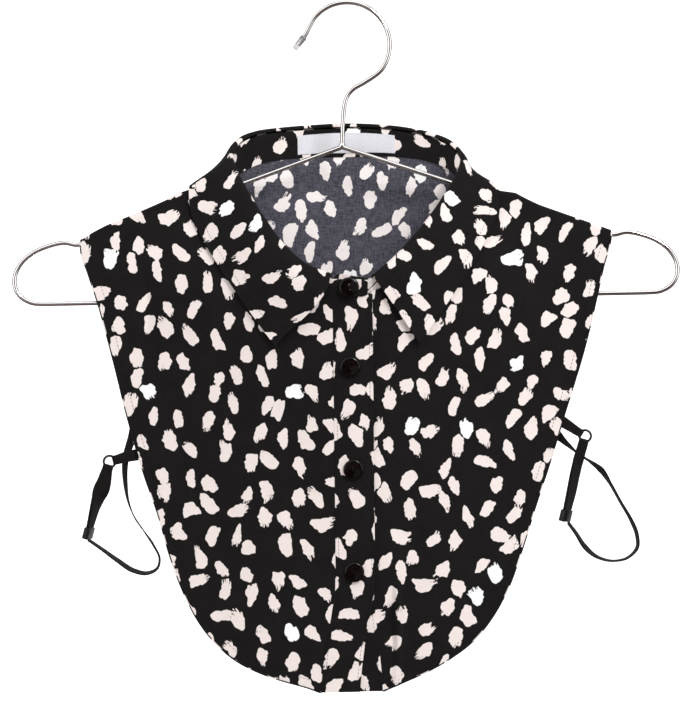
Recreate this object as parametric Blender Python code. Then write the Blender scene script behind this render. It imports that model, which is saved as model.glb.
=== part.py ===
"""A detachable shirt collar (a dickey) on a wire hanger.

Sizes are in millimetres in the garment's frame and become metres when a mesh is made. +Z is up, the front
faces -Y, and the wire lies in the plane y = 0. The origin is on the inside of the hook, where a rail carries it.
Right and left are the wearer's, so the right side is at -X.
"""

import math
from collections import namedtuple

import bmesh
import bpy
import numpy as np
from mathutils import Vector

MM = 0.001

# Driving dimensions
CLOTH = 1.0  # wall of one layer of cloth
BAND = 1.6  # wall of the stand, which is two layers
FALL = 1.2  # wall of the fall
GAP = 0.3  # between pieces that meet
WIRE = 2.8  # diameter of the hanger's wire
BUTTON = 12.0  # diameter of a button
PLACKET_WIDTH = 23.4
OVER_WIRE = 2.35  # from the wire's axis to the middle of the cloth that lies over it
ROLL = 1.9  # radius of the roll at the top of the collar
RING_RADIUS = 3.5
RING_WIRE = 1.5
SLIDER_LENGTH = 6.0
LEAF_CLEAR = CLOTH / 2 + GAP + FALL / 2 + 0.7  # from the middle of a panel to the middle of the fall on it
STEEPEST = 1.5  # the steepest slope of a panel for which the fall is held off further
PLACKET_LIFT = 1.5  # from the left front to the outer placket and the right front beside it
UNDER_DROP = 0.1  # how far the under placket lies behind the front's own surface
BACK_INSET = 3.0  # how far the back's side edge lies inside the front's
BACK_SHORTER = 7.0  # and how far its hem lies above the front's

# The hanger: the arms fall from the apex, and each ends in a rounded loop that runs back into the bar.
APEX_X = -0.9
APEX_Z = -85.4
ARM_SLOPE = 0.3475
ARM_START = 0.65  # from the middle of the shank to the start of each arm, where they are welded
ARM_END_X = 180.0  # where each end loop meets the bar
BAR_Z = -176.6
HOOK_RADIUS = 25.6
HOOK_CENTRE_X = 3.4
HOOK_CENTRE_Z = -math.sqrt((HOOK_RADIUS - WIRE / 2) ** 2 - HOOK_CENTRE_X**2)

# The shoulder line of each side, at the middle of the cloth, from the neck to the tip
ShoulderRow = namedtuple("ShoulderRow", "x_right z_right x_left z_left")
SHOULDER = (
    ShoulderRow(-69.0, -106.3, 69.0, -106.3),
    ShoulderRow(-84.0, -108.4, 84.0, -111.0),
    ShoulderRow(-94.0, -109.6, 94.0, -113.8),
    ShoulderRow(-102.0, -112.2, 103.0, -115.2),
    ShoulderRow(-108.0, -115.8, 109.0, -118.6),
    ShoulderRow(-125.0, -122.9, 117.0, -122.6),
    ShoulderRow(-144.0, -130.2, 133.0, -128.6),
    ShoulderRow(-152.0, -134.2, 146.0, -133.4),
    ShoulderRow(-157.5, -137.7, 153.5, -136.2),
    ShoulderRow(-159.6, -138.4, 160.2, -138.7),
)

# The outer edge of the body, from the shoulder tip round the hem to the placket
EdgeRow = namedtuple("EdgeRow", "x_right x_left z")
BODY_EDGE = (
    EdgeRow(-159.0, 159.3, -146.0),
    EdgeRow(-154.6, 155.0, -160.0),
    EdgeRow(-149.2, 150.7, -177.0),
    EdgeRow(-141.0, 142.2, -209.0),
    EdgeRow(-131.5, 128.8, -250.0),
    EdgeRow(-123.2, 119.0, -280.0),
    EdgeRow(-115.4, 110.6, -304.0),
    EdgeRow(-108.1, 101.6, -331.0),
    EdgeRow(-100.6, 93.6, -352.0),
    EdgeRow(-91.5, 83.2, -370.0),
    EdgeRow(-81.3, 72.2, -383.0),
    EdgeRow(-69.5, 58.8, -393.0),
    EdgeRow(-55.8, 46.4, -400.0),
    EdgeRow(-41.5, 35.0, -405.2),
    EdgeRow(-28.5, 25.0, -409.0),
)
HEM_CORNER = 11  # the row where the side edge becomes the hem
HEM_Z = -412.3

# The placket's outer layer drifts to the right below the last button, and the under layer hangs straight.
PlacketRow = namedtuple("PlacketRow", "z top_seam under_seam")
PLACKET = (
    PlacketRow(-177.2, -8.3, 15.3),
    PlacketRow(-236.0, -8.7, 14.6),
    PlacketRow(-300.0, -9.2, 13.8),
    PlacketRow(-336.0, -9.5, 13.2),
    PlacketRow(-352.0, -10.2, 13.0),
    PlacketRow(-367.0, -12.8, 13.8),
    PlacketRow(-383.0, -16.2, 15.4),
    PlacketRow(-398.0, -18.4, 16.6),
    PlacketRow(HEM_Z, -19.8, 17.4),
)

# The neckline, where the stand is sewn on, from the back to the front
SeamRow = namedtuple("SeamRow", "x z")
NECK_SEAM = (
    SeamRow(0.0, -88.8),
    SeamRow(20.0, -88.8),
    SeamRow(38.0, -90.2),
    SeamRow(53.0, -93.6),
    SeamRow(63.5, -99.4),
    SeamRow(69.0, -106.3),
    SeamRow(66.6, -118.5),
    SeamRow(60.2, -132.5),
    SeamRow(51.0, -147.0),
    SeamRow(38.5, -160.0),
    SeamRow(23.0, -170.2),
    SeamRow(8.6, -175.4),
)
NECK_FRONT_Z = -176.7
SHOULDER_ROW = 5  # the row where this line, the fold and the fall's edge cross the shoulder

# The top of the collar, where the fall rolls over, from the back to the front
FoldRow = namedtuple("FoldRow", "x_right x_left y z_right z_left")
FOLD_LINE = (
    FoldRow(0.0, 0.0, 27.5, -68.2, -68.2),
    FoldRow(-19.5, 19.5, 27.0, -68.8, -69.0),
    FoldRow(-38.0, 38.0, 24.0, -70.2, -71.4),
    FoldRow(-52.5, 53.0, 19.0, -72.6, -75.4),
    FoldRow(-62.0, 65.5, 12.0, -77.4, -82.0),
    FoldRow(-66.4, 71.4, 2.5, -87.2, -92.2),
    FoldRow(-62.0, 66.6, -6.0, -101.6, -103.6),
    FoldRow(-54.6, 58.6, -13.5, -115.6, -116.4),
    FoldRow(-46.2, 49.0, -21.0, -130.0, -130.0),
    FoldRow(-35.6, 37.4, -28.2, -144.8, -143.6),
    FoldRow(-22.6, 26.2, -34.0, -156.4, -154.6),
    FoldRow(-8.4, 15.6, -37.4, -162.4, -163.2),
)

# The outer edge of the fall, from the back round to the collar point
LeafRow = namedtuple("LeafRow", "x z_right z_left")
LEAF_EDGE = (
    LeafRow(0.0, -113.0, -113.0),
    LeafRow(26.0, -113.2, -113.4),
    LeafRow(50.0, -113.6, -114.4),
    LeafRow(71.0, -113.8, -116.0),
    LeafRow(86.0, -111.8, -116.2),
    LeafRow(92.0, -107.6, -111.6),
    LeafRow(93.0, -119.0, -121.0),
    LeafRow(86.6, -137.0, -138.0),
    LeafRow(76.8, -154.4, -155.4),
    LeafRow(66.8, -170.0, -170.6),
    LeafRow(55.4, -186.6, -187.0),
    LeafRow(42.6, -204.8, -204.8),
)

# The largest folds: each is a soft trough or ridge that runs down the cloth and fades at its ends.
FoldLine = namedtuple("FoldLine", "face x_top z_top x_bottom z_bottom half_width height")
FOLDS = (
    FoldLine("front", 24.5, -300.0, 22.5, -404.0, 7.0, 1.5),
    FoldLine("front", 34.0, -290.0, 36.0, -400.0, 8.0, -1.1),
    FoldLine("front", -122.0, -150.0, -119.0, -204.0, 8.0, -1.3),
    FoldLine("front", 118.0, -150.0, 121.0, -196.0, 8.0, -1.1),
    FoldLine("front", -62.0, -230.0, -50.0, -396.0, 17.0, 1.4),
    FoldLine("front", 66.0, -236.0, 62.0, -380.0, 15.0, 1.2),
    FoldLine("back", -44.0, -150.0, -60.0, -392.0, 18.0, 2.2),
    FoldLine("back", 38.0, -160.0, 52.0, -396.0, 17.0, 2.0),
    FoldLine("back", 2.0, -200.0, -2.0, -404.0, 14.0, -1.6),
)

# Each side's strap and elastic: centre line, width, and turn about its own length in degrees
BandRow = namedtuple("BandRow", "x y z width turn")
RING_AT = {"right": (-144.0, -6.0, -272.0), "left": (141.6, -6.0, -262.1)}
TAB = {
    "right": (
        BandRow(-119.0, -6.2, -266.6, 7.0, 0),
        BandRow(-127.3, -5.4, -268.2, 7.0, 0),
        BandRow(-133.9, -5.5, -269.3, 6.6, 0),
        BandRow(-139.2, -5.9, -270.8, 5.2, 0),
        BandRow(-142.1, -6.0, -271.5, 4.4, 0),
    ),
    "left": (
        BandRow(118.0, -6.9, -246.4, 7.0, 0),
        BandRow(127.2, -5.7, -252.6, 7.0, 0),
        BandRow(132.6, -5.6, -256.2, 6.6, 0),
        BandRow(137.4, -5.9, -259.5, 5.2, 0),
        BandRow(139.9, -6.0, -261.0, 4.4, 0),
    ),
}
STRAP = {
    "right": (
        BandRow(-144.6, -6.0, -273.8, 4.4, 0),
        BandRow(-146.0, -5.9, -278.4, 6.4, 0),
        BandRow(-147.6, -5.6, -284.2, 9.0, 4),
        BandRow(-150.2, -5.2, -291.0, 9.0, 22),
        BandRow(-153.4, -4.8, -299.7, 9.0, 38),
        BandRow(-155.9, -4.4, -308.4, 9.0, 44),
        BandRow(-157.6, -4.0, -314.4, 9.0, 44),
    ),
    "left": (
        BandRow(141.1, -6.0, -264.0, 4.4, 0),
        BandRow(139.6, -5.9, -268.8, 6.2, 0),
        BandRow(137.3, -5.6, -276.4, 8.0, 30),
        BandRow(134.9, -5.2, -286.0, 9.0, 46),
        BandRow(132.8, -4.8, -295.6, 9.0, 50),
        BandRow(130.6, -4.4, -304.4, 9.0, 50),
        BandRow(129.3, -4.0, -309.4, 9.0, 50),
    ),
}
ELASTIC = {
    "right": (
        BandRow(-158.2, -3.6, -318.6, 8.0, 72),
        BandRow(-150.6, -2.4, -324.2, 8.0, 76),
        BandRow(-140.8, -0.9, -331.8, 8.0, 72),
        BandRow(-131.3, 0.0, -338.2, 8.0, 64),
        BandRow(-122.9, 0.4, -339.9, 8.0, 70),
        BandRow(-117.0, 0.6, -337.0, 8.0, 66),
        BandRow(-115.6, 0.8, -331.8, 8.0, 64),
        BandRow(-118.9, 1.0, -323.7, 8.0, 68),
        BandRow(-124.8, 1.2, -314.6, 8.0, 78),
        BandRow(-130.7, 1.4, -305.4, 8.0, 82),
        BandRow(-134.1, 1.6, -295.7, 8.0, 72),
        BandRow(-135.4, 1.8, -286.0, 8.0, 64),
        BandRow(-135.7, 2.0, -277.6, 8.0, 72),
        BandRow(-134.9, 2.2, -270.0, 8.0, 70),
        BandRow(-132.0, 2.8, -261.0, 8.0, 20),
        BandRow(-127.4, 3.3, -249.0, 8.0, 0),
    ),
    "left": (
        BandRow(130.4, -3.6, -313.8, 8.0, 70),
        BandRow(135.2, -2.6, -320.4, 8.0, 74),
        BandRow(140.4, -1.4, -328.6, 8.0, 64),
        BandRow(147.3, -0.6, -334.8, 8.0, 72),
        BandRow(157.1, -0.2, -337.8, 8.0, 80),
        BandRow(166.8, 0.0, -335.9, 8.0, 76),
        BandRow(172.4, 0.4, -329.9, 8.0, 66),
        BandRow(172.3, 0.8, -322.3, 8.0, 68),
        BandRow(169.1, 1.2, -313.6, 8.0, 74),
        BandRow(163.2, 1.6, -303.0, 8.0, 76),
        BandRow(156.8, 2.0, -291.0, 8.0, 64),
        BandRow(151.6, 2.4, -283.0, 8.0, 62),
        BandRow(145.6, 2.6, -278.1, 8.0, 74),
        BandRow(138.6, 2.8, -273.4, 8.0, 80),
        BandRow(131.4, 2.6, -267.0, 8.0, 14),
        BandRow(121.6, 3.2, -257.4, 8.0, 0),
    ),
}
BAND_WALL = {"tab": 3.2, "strap": 3.2, "elastic": 0.9}

# (x, z) of the middle of each button
BUTTONS = {
    "button_neck": (1.5, -169.6),
    "button_1": (1.3, -217.8),
    "button_2": (2.1, -278.4),
    "button_3": (1.5, -339.7),
}
BUTTON_CLEAR = 0.5  # from the cloth to the middle of the button's back
NECK_BUTTON_Y = -40.0  # the outer face of the stand's end, which the first button is sewn to

# The label on the inside of the back stand
LABEL_WALL = 0.6
LABEL_FROM = -28.0
LABEL_TO = 31.5

# Mesh density
STEPS = 12  # points on a smooth curve from each of its rows to the next
NECK_COLUMNS = 7
SHOULDER_COLUMNS = 8
NEAR_SHOULDER = (5.5, 2.6, 1.0, 0.0)  # columns that turn over the wire at the neck, as distances from it
PANEL_ROWS = 15
CLOSER_BELOW = 1.25  # above 1, the rows lie closer together towards the hem
NEAR_SEAM = (0.0, 0.3, 1.1, OVER_WIRE, 5.0, 11.0)  # rows near the seam at the top, as distances from it
NEAR_RIDGE = (0.0, 1.5, 3.2, 6.0)  # stations of the collar on each side of the shoulder
FRONT_STATIONS = 11
BACK_STATIONS = 15
ARM_POINTS = 48
HOOK_POINTS = 46


# Smooth curves


def through(points):
    """A smooth curve through the points, with the same number of steps from each to the next."""
    points = np.array(points, float)
    knots = np.concatenate([[0], np.cumsum(np.linalg.norm(np.diff(points, axis=0), axis=1))])
    slopes = np.gradient(points, knots, axis=0)
    curve = [points[:1]]
    for i in range(len(points) - 1):
        reach = knots[i + 1] - knots[i]
        s = np.linspace(0, 1, STEPS + 1)[1:, None]
        curve.append(
            (2 * s**3 - 3 * s**2 + 1) * points[i]
            + (s**3 - 2 * s**2 + s) * reach * slopes[i]
            + (3 * s**2 - 2 * s**3) * points[i + 1]
            + (s**3 - s**2) * reach * slopes[i + 1]
        )
    return np.concatenate(curve)


def along(curve, fractions):
    """Points at these fractions of the curve's length."""
    curve = np.array(curve, float)
    lengths = np.concatenate([[0], np.cumsum(np.linalg.norm(np.diff(curve, axis=0), axis=1))])
    where = np.clip(fractions, 0, 1) * lengths[-1]
    return np.stack([np.interp(where, lengths, axis) for axis in curve.T], axis=-1)


def even(curve, count):
    return along(curve, np.linspace(0, 1, count))


def length_of(curve):
    return float(np.sum(np.linalg.norm(np.diff(curve, axis=0), axis=1)))


def smoothstep(value):
    value = np.clip(value, 0, 1)
    return value * value * (3 - 2 * value)


def unit(vectors):
    return vectors / np.linalg.norm(vectors, axis=-1, keepdims=True)


# The form of the body: how far each face stands from the hanger's plane


def column(rows, name):
    return np.array([getattr(row, name) for row in rows])


def shoulder_top(x):
    """Height of the shoulder line, which goes on up at the arms' slope inside the neck."""
    right = np.interp(-x, -column(SHOULDER, "x_right"), column(SHOULDER, "z_right"))
    left = np.interp(x, column(SHOULDER, "x_left"), column(SHOULDER, "z_left"))
    inside = np.maximum(SHOULDER[0].x_left - np.abs(x), 0)
    return np.where(x < 0, right, left) + ARM_SLOPE * inside


def over_wire(below):
    """The quarter round that the cloth makes as it turns over the wire."""
    left_to_go = np.clip(OVER_WIRE - below, 0, OVER_WIRE)
    return np.sqrt(OVER_WIRE**2 - left_to_go**2)


def fold_height(face, x, z):
    total = np.zeros_like(x)
    for fold in FOLDS:
        if fold.face != face:
            continue
        down = (fold.z_top - z) / (fold.z_top - fold.z_bottom)
        middle = fold.x_top + (fold.x_bottom - fold.x_top) * np.clip(down, 0, 1)
        fade = smoothstep(down / 0.35) * smoothstep((1.25 - down) / 0.35)
        total += fold.height * np.exp(-(((x - middle) / fold.half_width) ** 2)) * fade
    return total


def front_y(x, z):
    """The front stands off by the neck's depth at the buttons, and lies back towards the hem and the sides."""
    x, z = np.asarray(x, float), np.asarray(z, float)
    below = np.maximum(shoulder_top(x) - z, 0)
    ridge = np.maximum(33.6 + 0.112 * (z + 176.0), 6.5)
    spread = np.exp(-((x / 105.0) ** 2))
    rise = 1 - np.exp(-((below / 42.0) ** 2))
    return -(over_wire(below) + ridge * spread * rise + fold_height("front", x, z))


def back_y(x, z):
    x, z = np.asarray(x, float), np.asarray(z, float)
    below = np.maximum(shoulder_top(x) - z, SHOULDER[0].x_left - np.abs(x))
    below = np.maximum(below, 0)
    depth = np.maximum(24.0 + 0.095 * (z + 90.0), 5.0)
    spread = np.exp(-((x / (75.0 + 35.0 * smoothstep((-110.0 - z) / 140.0))) ** 2))
    rise = 1 - np.exp(-((below / 6.0) ** 2))
    return over_wire(below) + depth * spread * rise + fold_height("back", x, z)


# Lines that several pieces share, as (x, z) or (x, y, z) points


def neck_seam_front(side):
    """(x, z) of the neckline on one side, from the placket up to the shoulder."""
    rows = [(side * row.x, row.z) for row in NECK_SEAM[SHOULDER_ROW:]]
    return through([(0.0, NECK_FRONT_Z)] + rows[::-1])


def neck_seam_ring():
    """(x, y, z) of the whole neckline, from the left front end, round the back, to the right front end."""
    left = [(row.x, row.z) for row in NECK_SEAM]
    right = [(-row.x, row.z) for row in NECK_SEAM]
    x, z = through(left[::-1] + right[1:]).T
    behind = z > NECK_SEAM[SHOULDER_ROW].z
    return np.stack([x, np.where(behind, back_y(x, z), front_y(x, z)), z], axis=-1)


def fold_ring():
    left = [(row.x_left, row.y, row.z_left) for row in FOLD_LINE]
    right = [(row.x_right, row.y, row.z_right) for row in FOLD_LINE]
    return through(left[::-1] + right[1:])


def clear_of(face_y, x, z):
    """How far from a panel, along Y, the fall lies so that it clears it square to the cloth."""
    step = 0.5
    across = (face_y(x + step, z) - face_y(x - step, z)) / (2 * step)
    upward = (face_y(x, z + step) - face_y(x, z - step)) / (2 * step)
    slope = np.minimum(np.hypot(across, upward), STEEPEST)
    return LEAF_CLEAR * np.sqrt(1 + slope**2)


def keep_off_body(points):
    """Moves points of the fall out to where they clear the panels and the shoulder under them."""
    x, y, z = points[..., 0], points[..., 1], points[..., 2]
    above_bend = z - (shoulder_top(x) - OVER_WIRE)
    radius = np.hypot(y, above_bend)
    reach = np.maximum((OVER_WIRE + LEAF_CLEAR) / np.maximum(radius, 0.01), 1)
    over = (above_bend > 0) & (np.abs(x) > NECK_SEAM[SHOULDER_ROW].x)
    y = np.where(over, y * reach, y)
    z = np.where(over, z + above_bend * (reach - 1), z)
    ahead = (above_bend <= 0) & (y < 0)
    behind = (above_bend <= 0) & (y >= 0)
    y = np.where(ahead, np.minimum(y, front_y(x, z) - clear_of(front_y, x, z)), y)
    y = np.where(behind, np.maximum(y, back_y(x, z) + clear_of(back_y, x, z)), y)
    return np.stack([x, y, z], axis=-1)


def leaf_ring():
    """(x, y, z) of the fall's outer edge, just clear of the body that it lies on."""
    left = [(row.x, row.z_left) for row in LEAF_EDGE]
    right = [(-row.x, row.z_right) for row in LEAF_EDGE]
    flat = through(left[::-1] + right[1:])
    x, z = flat[:, 0], flat[:, 1]
    rows_from_back = np.abs(np.linspace(-1, 1, len(flat))) * (len(LEAF_EDGE) - 1)
    past_shoulder = np.clip((rows_from_back - SHOULDER_ROW) / 0.7, -1, 1)
    ahead = (front_y(x, z) - clear_of(front_y, x, z)) * past_shoulder
    behind = (back_y(x, z) + clear_of(back_y, x, z)) * -past_shoulder
    y = np.where(past_shoulder > 0, ahead, behind)
    return keep_off_body(np.stack([x, y, z], axis=-1))


def placket_line(name):
    return np.array([(getattr(row, name), row.z) for row in PLACKET])


def shoulder_line(side):
    if side < 0:
        rows = [(row.x_right, row.z_right) for row in SHOULDER]
    else:
        rows = [(row.x_left, row.z_left) for row in SHOULDER]
    return np.array(rows)


def body_edge(side, inset=0.0):
    """(x, z) from the shoulder tip down the side and round the hem."""
    name = "x_right" if side < 0 else "x_left"
    rows = [(getattr(row, name) - side * inset, row.z) for row in BODY_EDGE]
    tip = shoulder_line(side)[-1] - (side * inset, 0)
    return [tuple(tip)] + rows


# Meshes


def material(name, colour, roughness, metallic=0.0):
    made = bpy.data.materials.get(name) or bpy.data.materials.new(name)
    made.use_nodes = True
    shader = made.node_tree.nodes["Principled BSDF"]
    shader.inputs["Base Color"].default_value = (*colour, 1)
    shader.inputs["Roughness"].default_value = roughness
    shader.inputs["Metallic"].default_value = metallic
    made.diffuse_color = (*colour, 1)
    return made


def cloth_material():
    return material("printed_cloth", (0.012, 0.012, 0.014), 0.75)


def add(name, mesh, finish):
    """An object for a mesh whose faces are turned outwards."""
    mesh.materials.append(finish)
    made = bpy.data.objects.new(name, mesh)
    bpy.context.scene.collection.objects.link(made)
    return made


def sheet_mesh(name, grid):
    """A net of faces over a grid of points, given in millimetres as rows by columns."""
    rows, columns = grid.shape[:2]
    net = bmesh.new()
    corners = [[net.verts.new(Vector(point) * MM) for point in row] for row in grid]
    for i in range(rows - 1):
        for j in range(columns - 1):
            around = (corners[i][j], corners[i][j + 1], corners[i + 1][j + 1], corners[i + 1][j])
            net.faces.new(around).smooth = True
    bmesh.ops.recalc_face_normals(net, faces=net.faces)
    mesh = bpy.data.meshes.new(name)
    net.to_mesh(mesh)
    net.free()
    return mesh


def sheet(name, grid, wall, finish):
    """A closed wall of this thickness, half on each side of the grid."""
    made = add(name, sheet_mesh(name, grid), finish)
    solidify = made.modifiers.new("wall", "SOLIDIFY")
    solidify.thickness = wall * MM
    solidify.offset = 0
    return made


def tube(name, points, diameter, finish, cyclic=False):
    """A round wire along the points, with flat closed ends."""
    curve = bpy.data.curves.new(name, "CURVE")
    curve.dimensions = "3D"
    curve.bevel_depth = diameter / 2 * MM
    curve.bevel_resolution = 2
    curve.use_fill_caps = not cyclic
    line = curve.splines.new("POLY")
    line.points.add(len(points) - 1)
    for point, place in zip(line.points, points):
        point.co = (*(Vector(place) * MM), 1)
    line.use_cyclic_u = cyclic
    line.use_smooth = True
    curve.materials.append(finish)
    made = bpy.data.objects.new(name, curve)
    bpy.context.scene.collection.objects.link(made)
    return made


def turned(name, profile, steps, finish):
    """A closed shape turned about Z from a profile of (radius, height) points that starts and ends on the axis."""
    shape = bmesh.new()
    corners = [shape.verts.new((radius * MM, 0, height * MM)) for radius, height in profile]
    edges = [shape.edges.new(pair) for pair in zip(corners, corners[1:])]
    bmesh.ops.spin(
        shape,
        geom=corners + edges,
        axis=(0, 0, 1),
        cent=(0, 0, 0),
        angle=math.tau,
        steps=steps,
        use_merge=True,
    )
    bmesh.ops.remove_doubles(shape, verts=shape.verts, dist=1e-6)
    bmesh.ops.recalc_face_normals(shape, faces=shape.faces)
    mesh = bpy.data.meshes.new(name)
    shape.to_mesh(mesh)
    shape.free()
    mesh.shade_smooth()
    mesh.set_sharp_from_angle(angle=math.radians(40))
    return add(name, mesh, finish)


# The body's panels


def coons(top, bottom, inner, outer, across, rows):
    """(x, z) grid between four edge lines. The first rows keep their distance to the seam at the top."""
    tops, bottoms = along(top, across), along(bottom, across)
    lengths = np.linalg.norm(bottoms - tops, axis=1)
    grid = []
    for row in range(len(NEAR_SEAM) + rows):
        if row < len(NEAR_SEAM):
            down = NEAR_SEAM[row] / lengths
        else:
            start = NEAR_SEAM[-1] / lengths
            left_to_go = 1 - (row + 1 - len(NEAR_SEAM)) / rows
            down = 1 - (1 - start) * left_to_go**CLOSER_BELOW
        down = down[:, None]
        inner_points, outer_points = along(inner, down[:, 0]), along(outer, down[:, 0])
        u = across[:, None]
        ruled_down = (1 - down) * tops + down * bottoms
        ruled_across = (1 - u) * inner_points + u * outer_points
        corners = (
            (1 - u) * (1 - down) * tops[0]
            + u * (1 - down) * tops[-1]
            + (1 - u) * down * bottoms[0]
            + u * down * bottoms[-1]
        )
        grid.append(ruled_down + ruled_across - corners)
    return np.array(grid)


def front_panel(side):
    """One front, from its placket seam to the side edge. The right one rides up onto the outer placket."""
    line = placket_line("top_seam" if side < 0 else "under_seam")
    line[:, 0] += side * GAP / 2
    neck = neck_seam_front(side)
    from_seam = neck[np.abs(neck[:, 0]) > abs(line[0, 0])]
    near = neck[: 5 * STEPS]
    start = (line[0, 0], np.interp(abs(line[0, 0]), np.abs(near[:, 0]), near[:, 1]))
    neck_part = np.vstack([start, from_seam])
    top = np.vstack([neck_part, shoulder_line(side)[1:]])
    inner = np.vstack([start, line[1:]])
    edge = through(body_edge(side) + [(line[-1, 0], HEM_Z)])
    corner = (HEM_CORNER + 1) * STEPS
    outer, hem = edge[: corner + 1], edge[corner:][::-1]
    neck_length = length_of(neck_part)
    neck_share = neck_length / length_of(top)
    near_shoulder = 1 - np.array(NEAR_SHOULDER) / neck_length
    neck_columns = np.concatenate([np.linspace(0, near_shoulder[0], NECK_COLUMNS + 1), near_shoulder[1:]])
    shoulder_columns = np.linspace(neck_share, 1, SHOULDER_COLUMNS + 1)[1:]
    across = np.concatenate([neck_columns * neck_share, shoulder_columns])
    flat = coons(top, hem, inner, outer, across, PANEL_ROWS)
    x, z = flat[..., 0], flat[..., 1]
    seam_x = np.interp(-z, -line[:, 1], line[:, 0])
    beside = np.exp(-np.abs(x - seam_x) / 26.0)
    lift = PLACKET_LIFT if side < 0 else -UNDER_DROP
    y = front_y(x, z) - lift * beside
    y[0] = np.minimum(y[0], -0.8 * GAP)
    grid = np.stack([x, y, z], axis=-1)
    return sheet("front_right" if side < 0 else "front_left", grid, CLOTH, cloth_material())


def placket(name, seam, direction, offset):
    """A strip down the front, from its seam towards the other side, made from the front's own points."""
    line = placket_line(seam)
    rows = []
    for z in np.linspace(NECK_FRONT_Z - 2 * GAP, HEM_Z, 20):
        seam_x = np.interp(-z, -line[:, 1], line[:, 0]) + direction * GAP / 2
        x = seam_x + direction * np.linspace(0, PLACKET_WIDTH, 5)
        height = np.full(5, z)
        rows.append(np.stack([x, front_y(x, height) - offset, height], axis=-1))
    return sheet(name, np.array(rows), CLOTH, cloth_material())


def back_edge(side):
    """The front's side edge and hem, drawn in at the side and raised towards the hem."""
    rows = []
    for x, z in body_edge(side, BACK_INSET):
        rows.append((x, z + BACK_SHORTER * float(smoothstep((-300.0 - z) / 90.0))))
    return rows


def back_panel():
    """The back: the same outline as the fronts, a little inside it, with the higher neckline."""
    neck_rows = [(row.x, row.z) for row in NECK_SEAM[: SHOULDER_ROW + 1]]
    neck = through([(-x, z) for x, z in neck_rows[:0:-1]] + neck_rows)
    top = np.vstack([shoulder_line(-1)[::-1][:-1], neck, shoulder_line(1)[1:]])
    top[0, 0] += BACK_INSET
    top[-1, 0] -= BACK_INSET
    middle = [(-4.0, HEM_Z + BACK_SHORTER)]
    edge = through(back_edge(-1) + middle + back_edge(1)[::-1])
    corner = (HEM_CORNER + 1) * STEPS
    right, hem, left = edge[: corner + 1], edge[corner : -corner], edge[-corner - 1 :][::-1]
    shoulder_share = length_of(shoulder_line(-1)) / length_of(top)
    neck_columns = np.linspace(shoulder_share, 1 - shoulder_share, 2 * NECK_COLUMNS + 1)
    shoulder_columns = np.linspace(0, shoulder_share, SHOULDER_COLUMNS + 1)[:-1]
    across = np.concatenate([shoulder_columns, neck_columns, 1 - shoulder_columns[::-1]])
    flat = coons(top, hem, right, left, across, PANEL_ROWS)
    x, z = flat[..., 0], flat[..., 1]
    y = back_y(x, z)
    y[0] = np.maximum(y[0], 0.8 * GAP)
    return sheet("back_panel", np.stack([x, y, z], axis=-1), CLOTH, cloth_material())


# The collar


def spaced(part, near_start, near_end, between):
    """Points along part of a ring, closer together at the ends that lie on a shoulder."""
    total = length_of(part)
    near = np.array(NEAR_RIDGE)
    first = near if near_start else near[:1]
    last = near if near_end else near[:1]
    middle = np.linspace(first[-1], total - last[-1], between + 2)[1:-1]
    return along(part, np.concatenate([first, middle, total - last[::-1]]) / total)


def stations(ring):
    """Points round the neck from the left front end. Each ring crosses the shoulders at the same two of them."""
    middle = len(ring) // 2
    reach = SHOULDER_ROW * STEPS
    left = spaced(ring[: middle - reach + 1], False, True, FRONT_STATIONS)
    back = spaced(ring[middle - reach : middle + reach + 1], True, True, BACK_STATIONS)
    right = spaced(ring[middle + reach :], True, False, FRONT_STATIONS)
    return np.vstack([left, back[1:], right[1:]])


def collar_frame():
    """At each station round the neck: the seam, the fold, the leaf's edge, and the ways up and out."""
    seam = stations(neck_seam_ring())
    fold = stations(fold_ring())
    leaf = stations(leaf_ring())
    upward = unit(fold - seam)
    ahead = unit(np.gradient(fold, axis=0))
    outward = unit(np.cross(ahead, upward))
    outward *= np.sign(np.sum(outward * (fold - fold.mean(axis=0)), axis=1))[:, None]
    return seam, fold, leaf, upward, outward


def stand_edges():
    """The top and bottom of the stand. It stands just inside the neckline, and more so beside the shoulder,
    where its lower edge also rises over the wire."""
    seam, fold, _, upward, outward = collar_frame()
    top = fold - upward * (FALL / 2 + ROLL + 4 * GAP)
    beside_arm = np.exp(-(((seam[:, 2] - SHOULDER[0].z_left + 4.0) / 10.0) ** 2))
    inside = outward * (0.7 + 2.1 * beside_arm)[:, None]
    inside[:, 1] *= 1 - beside_arm
    bottom = seam + upward * (CLOTH / 2 + GAP + 0.8 * beside_arm)[:, None] - inside
    return top, bottom


def stand_grid():
    """The stand, from the seam up to the roll. Its right end goes on over its left end at the front."""
    top, bottom = stand_edges()
    share_round = np.linspace(0, 1, len(top))
    lap = smoothstep((share_round - 0.86) / 0.14) * PLACKET_LIFT
    lap -= smoothstep((0.14 - share_round) / 0.14) * 2 * GAP
    reach = np.linspace(0, 1, 5)[1:]
    grid = []
    for share in (0.0, 0.34, 0.67, 1.0):
        row = bottom + (top - bottom) * share
        row[:, 1] -= lap
        rise = 1.5 + 2.5 * share
        left_end = row[0] + np.array([(-20.0 * s, -GAP, rise * s) for s in reach[::-1]])
        right_end = row[-1] + np.array([(21.0 * s, -0.4 * math.sin(math.pi * s / 2), -0.7 * s) for s in reach])
        grid.append(np.vstack([left_end, row, right_end]))
    return np.array(grid)


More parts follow.
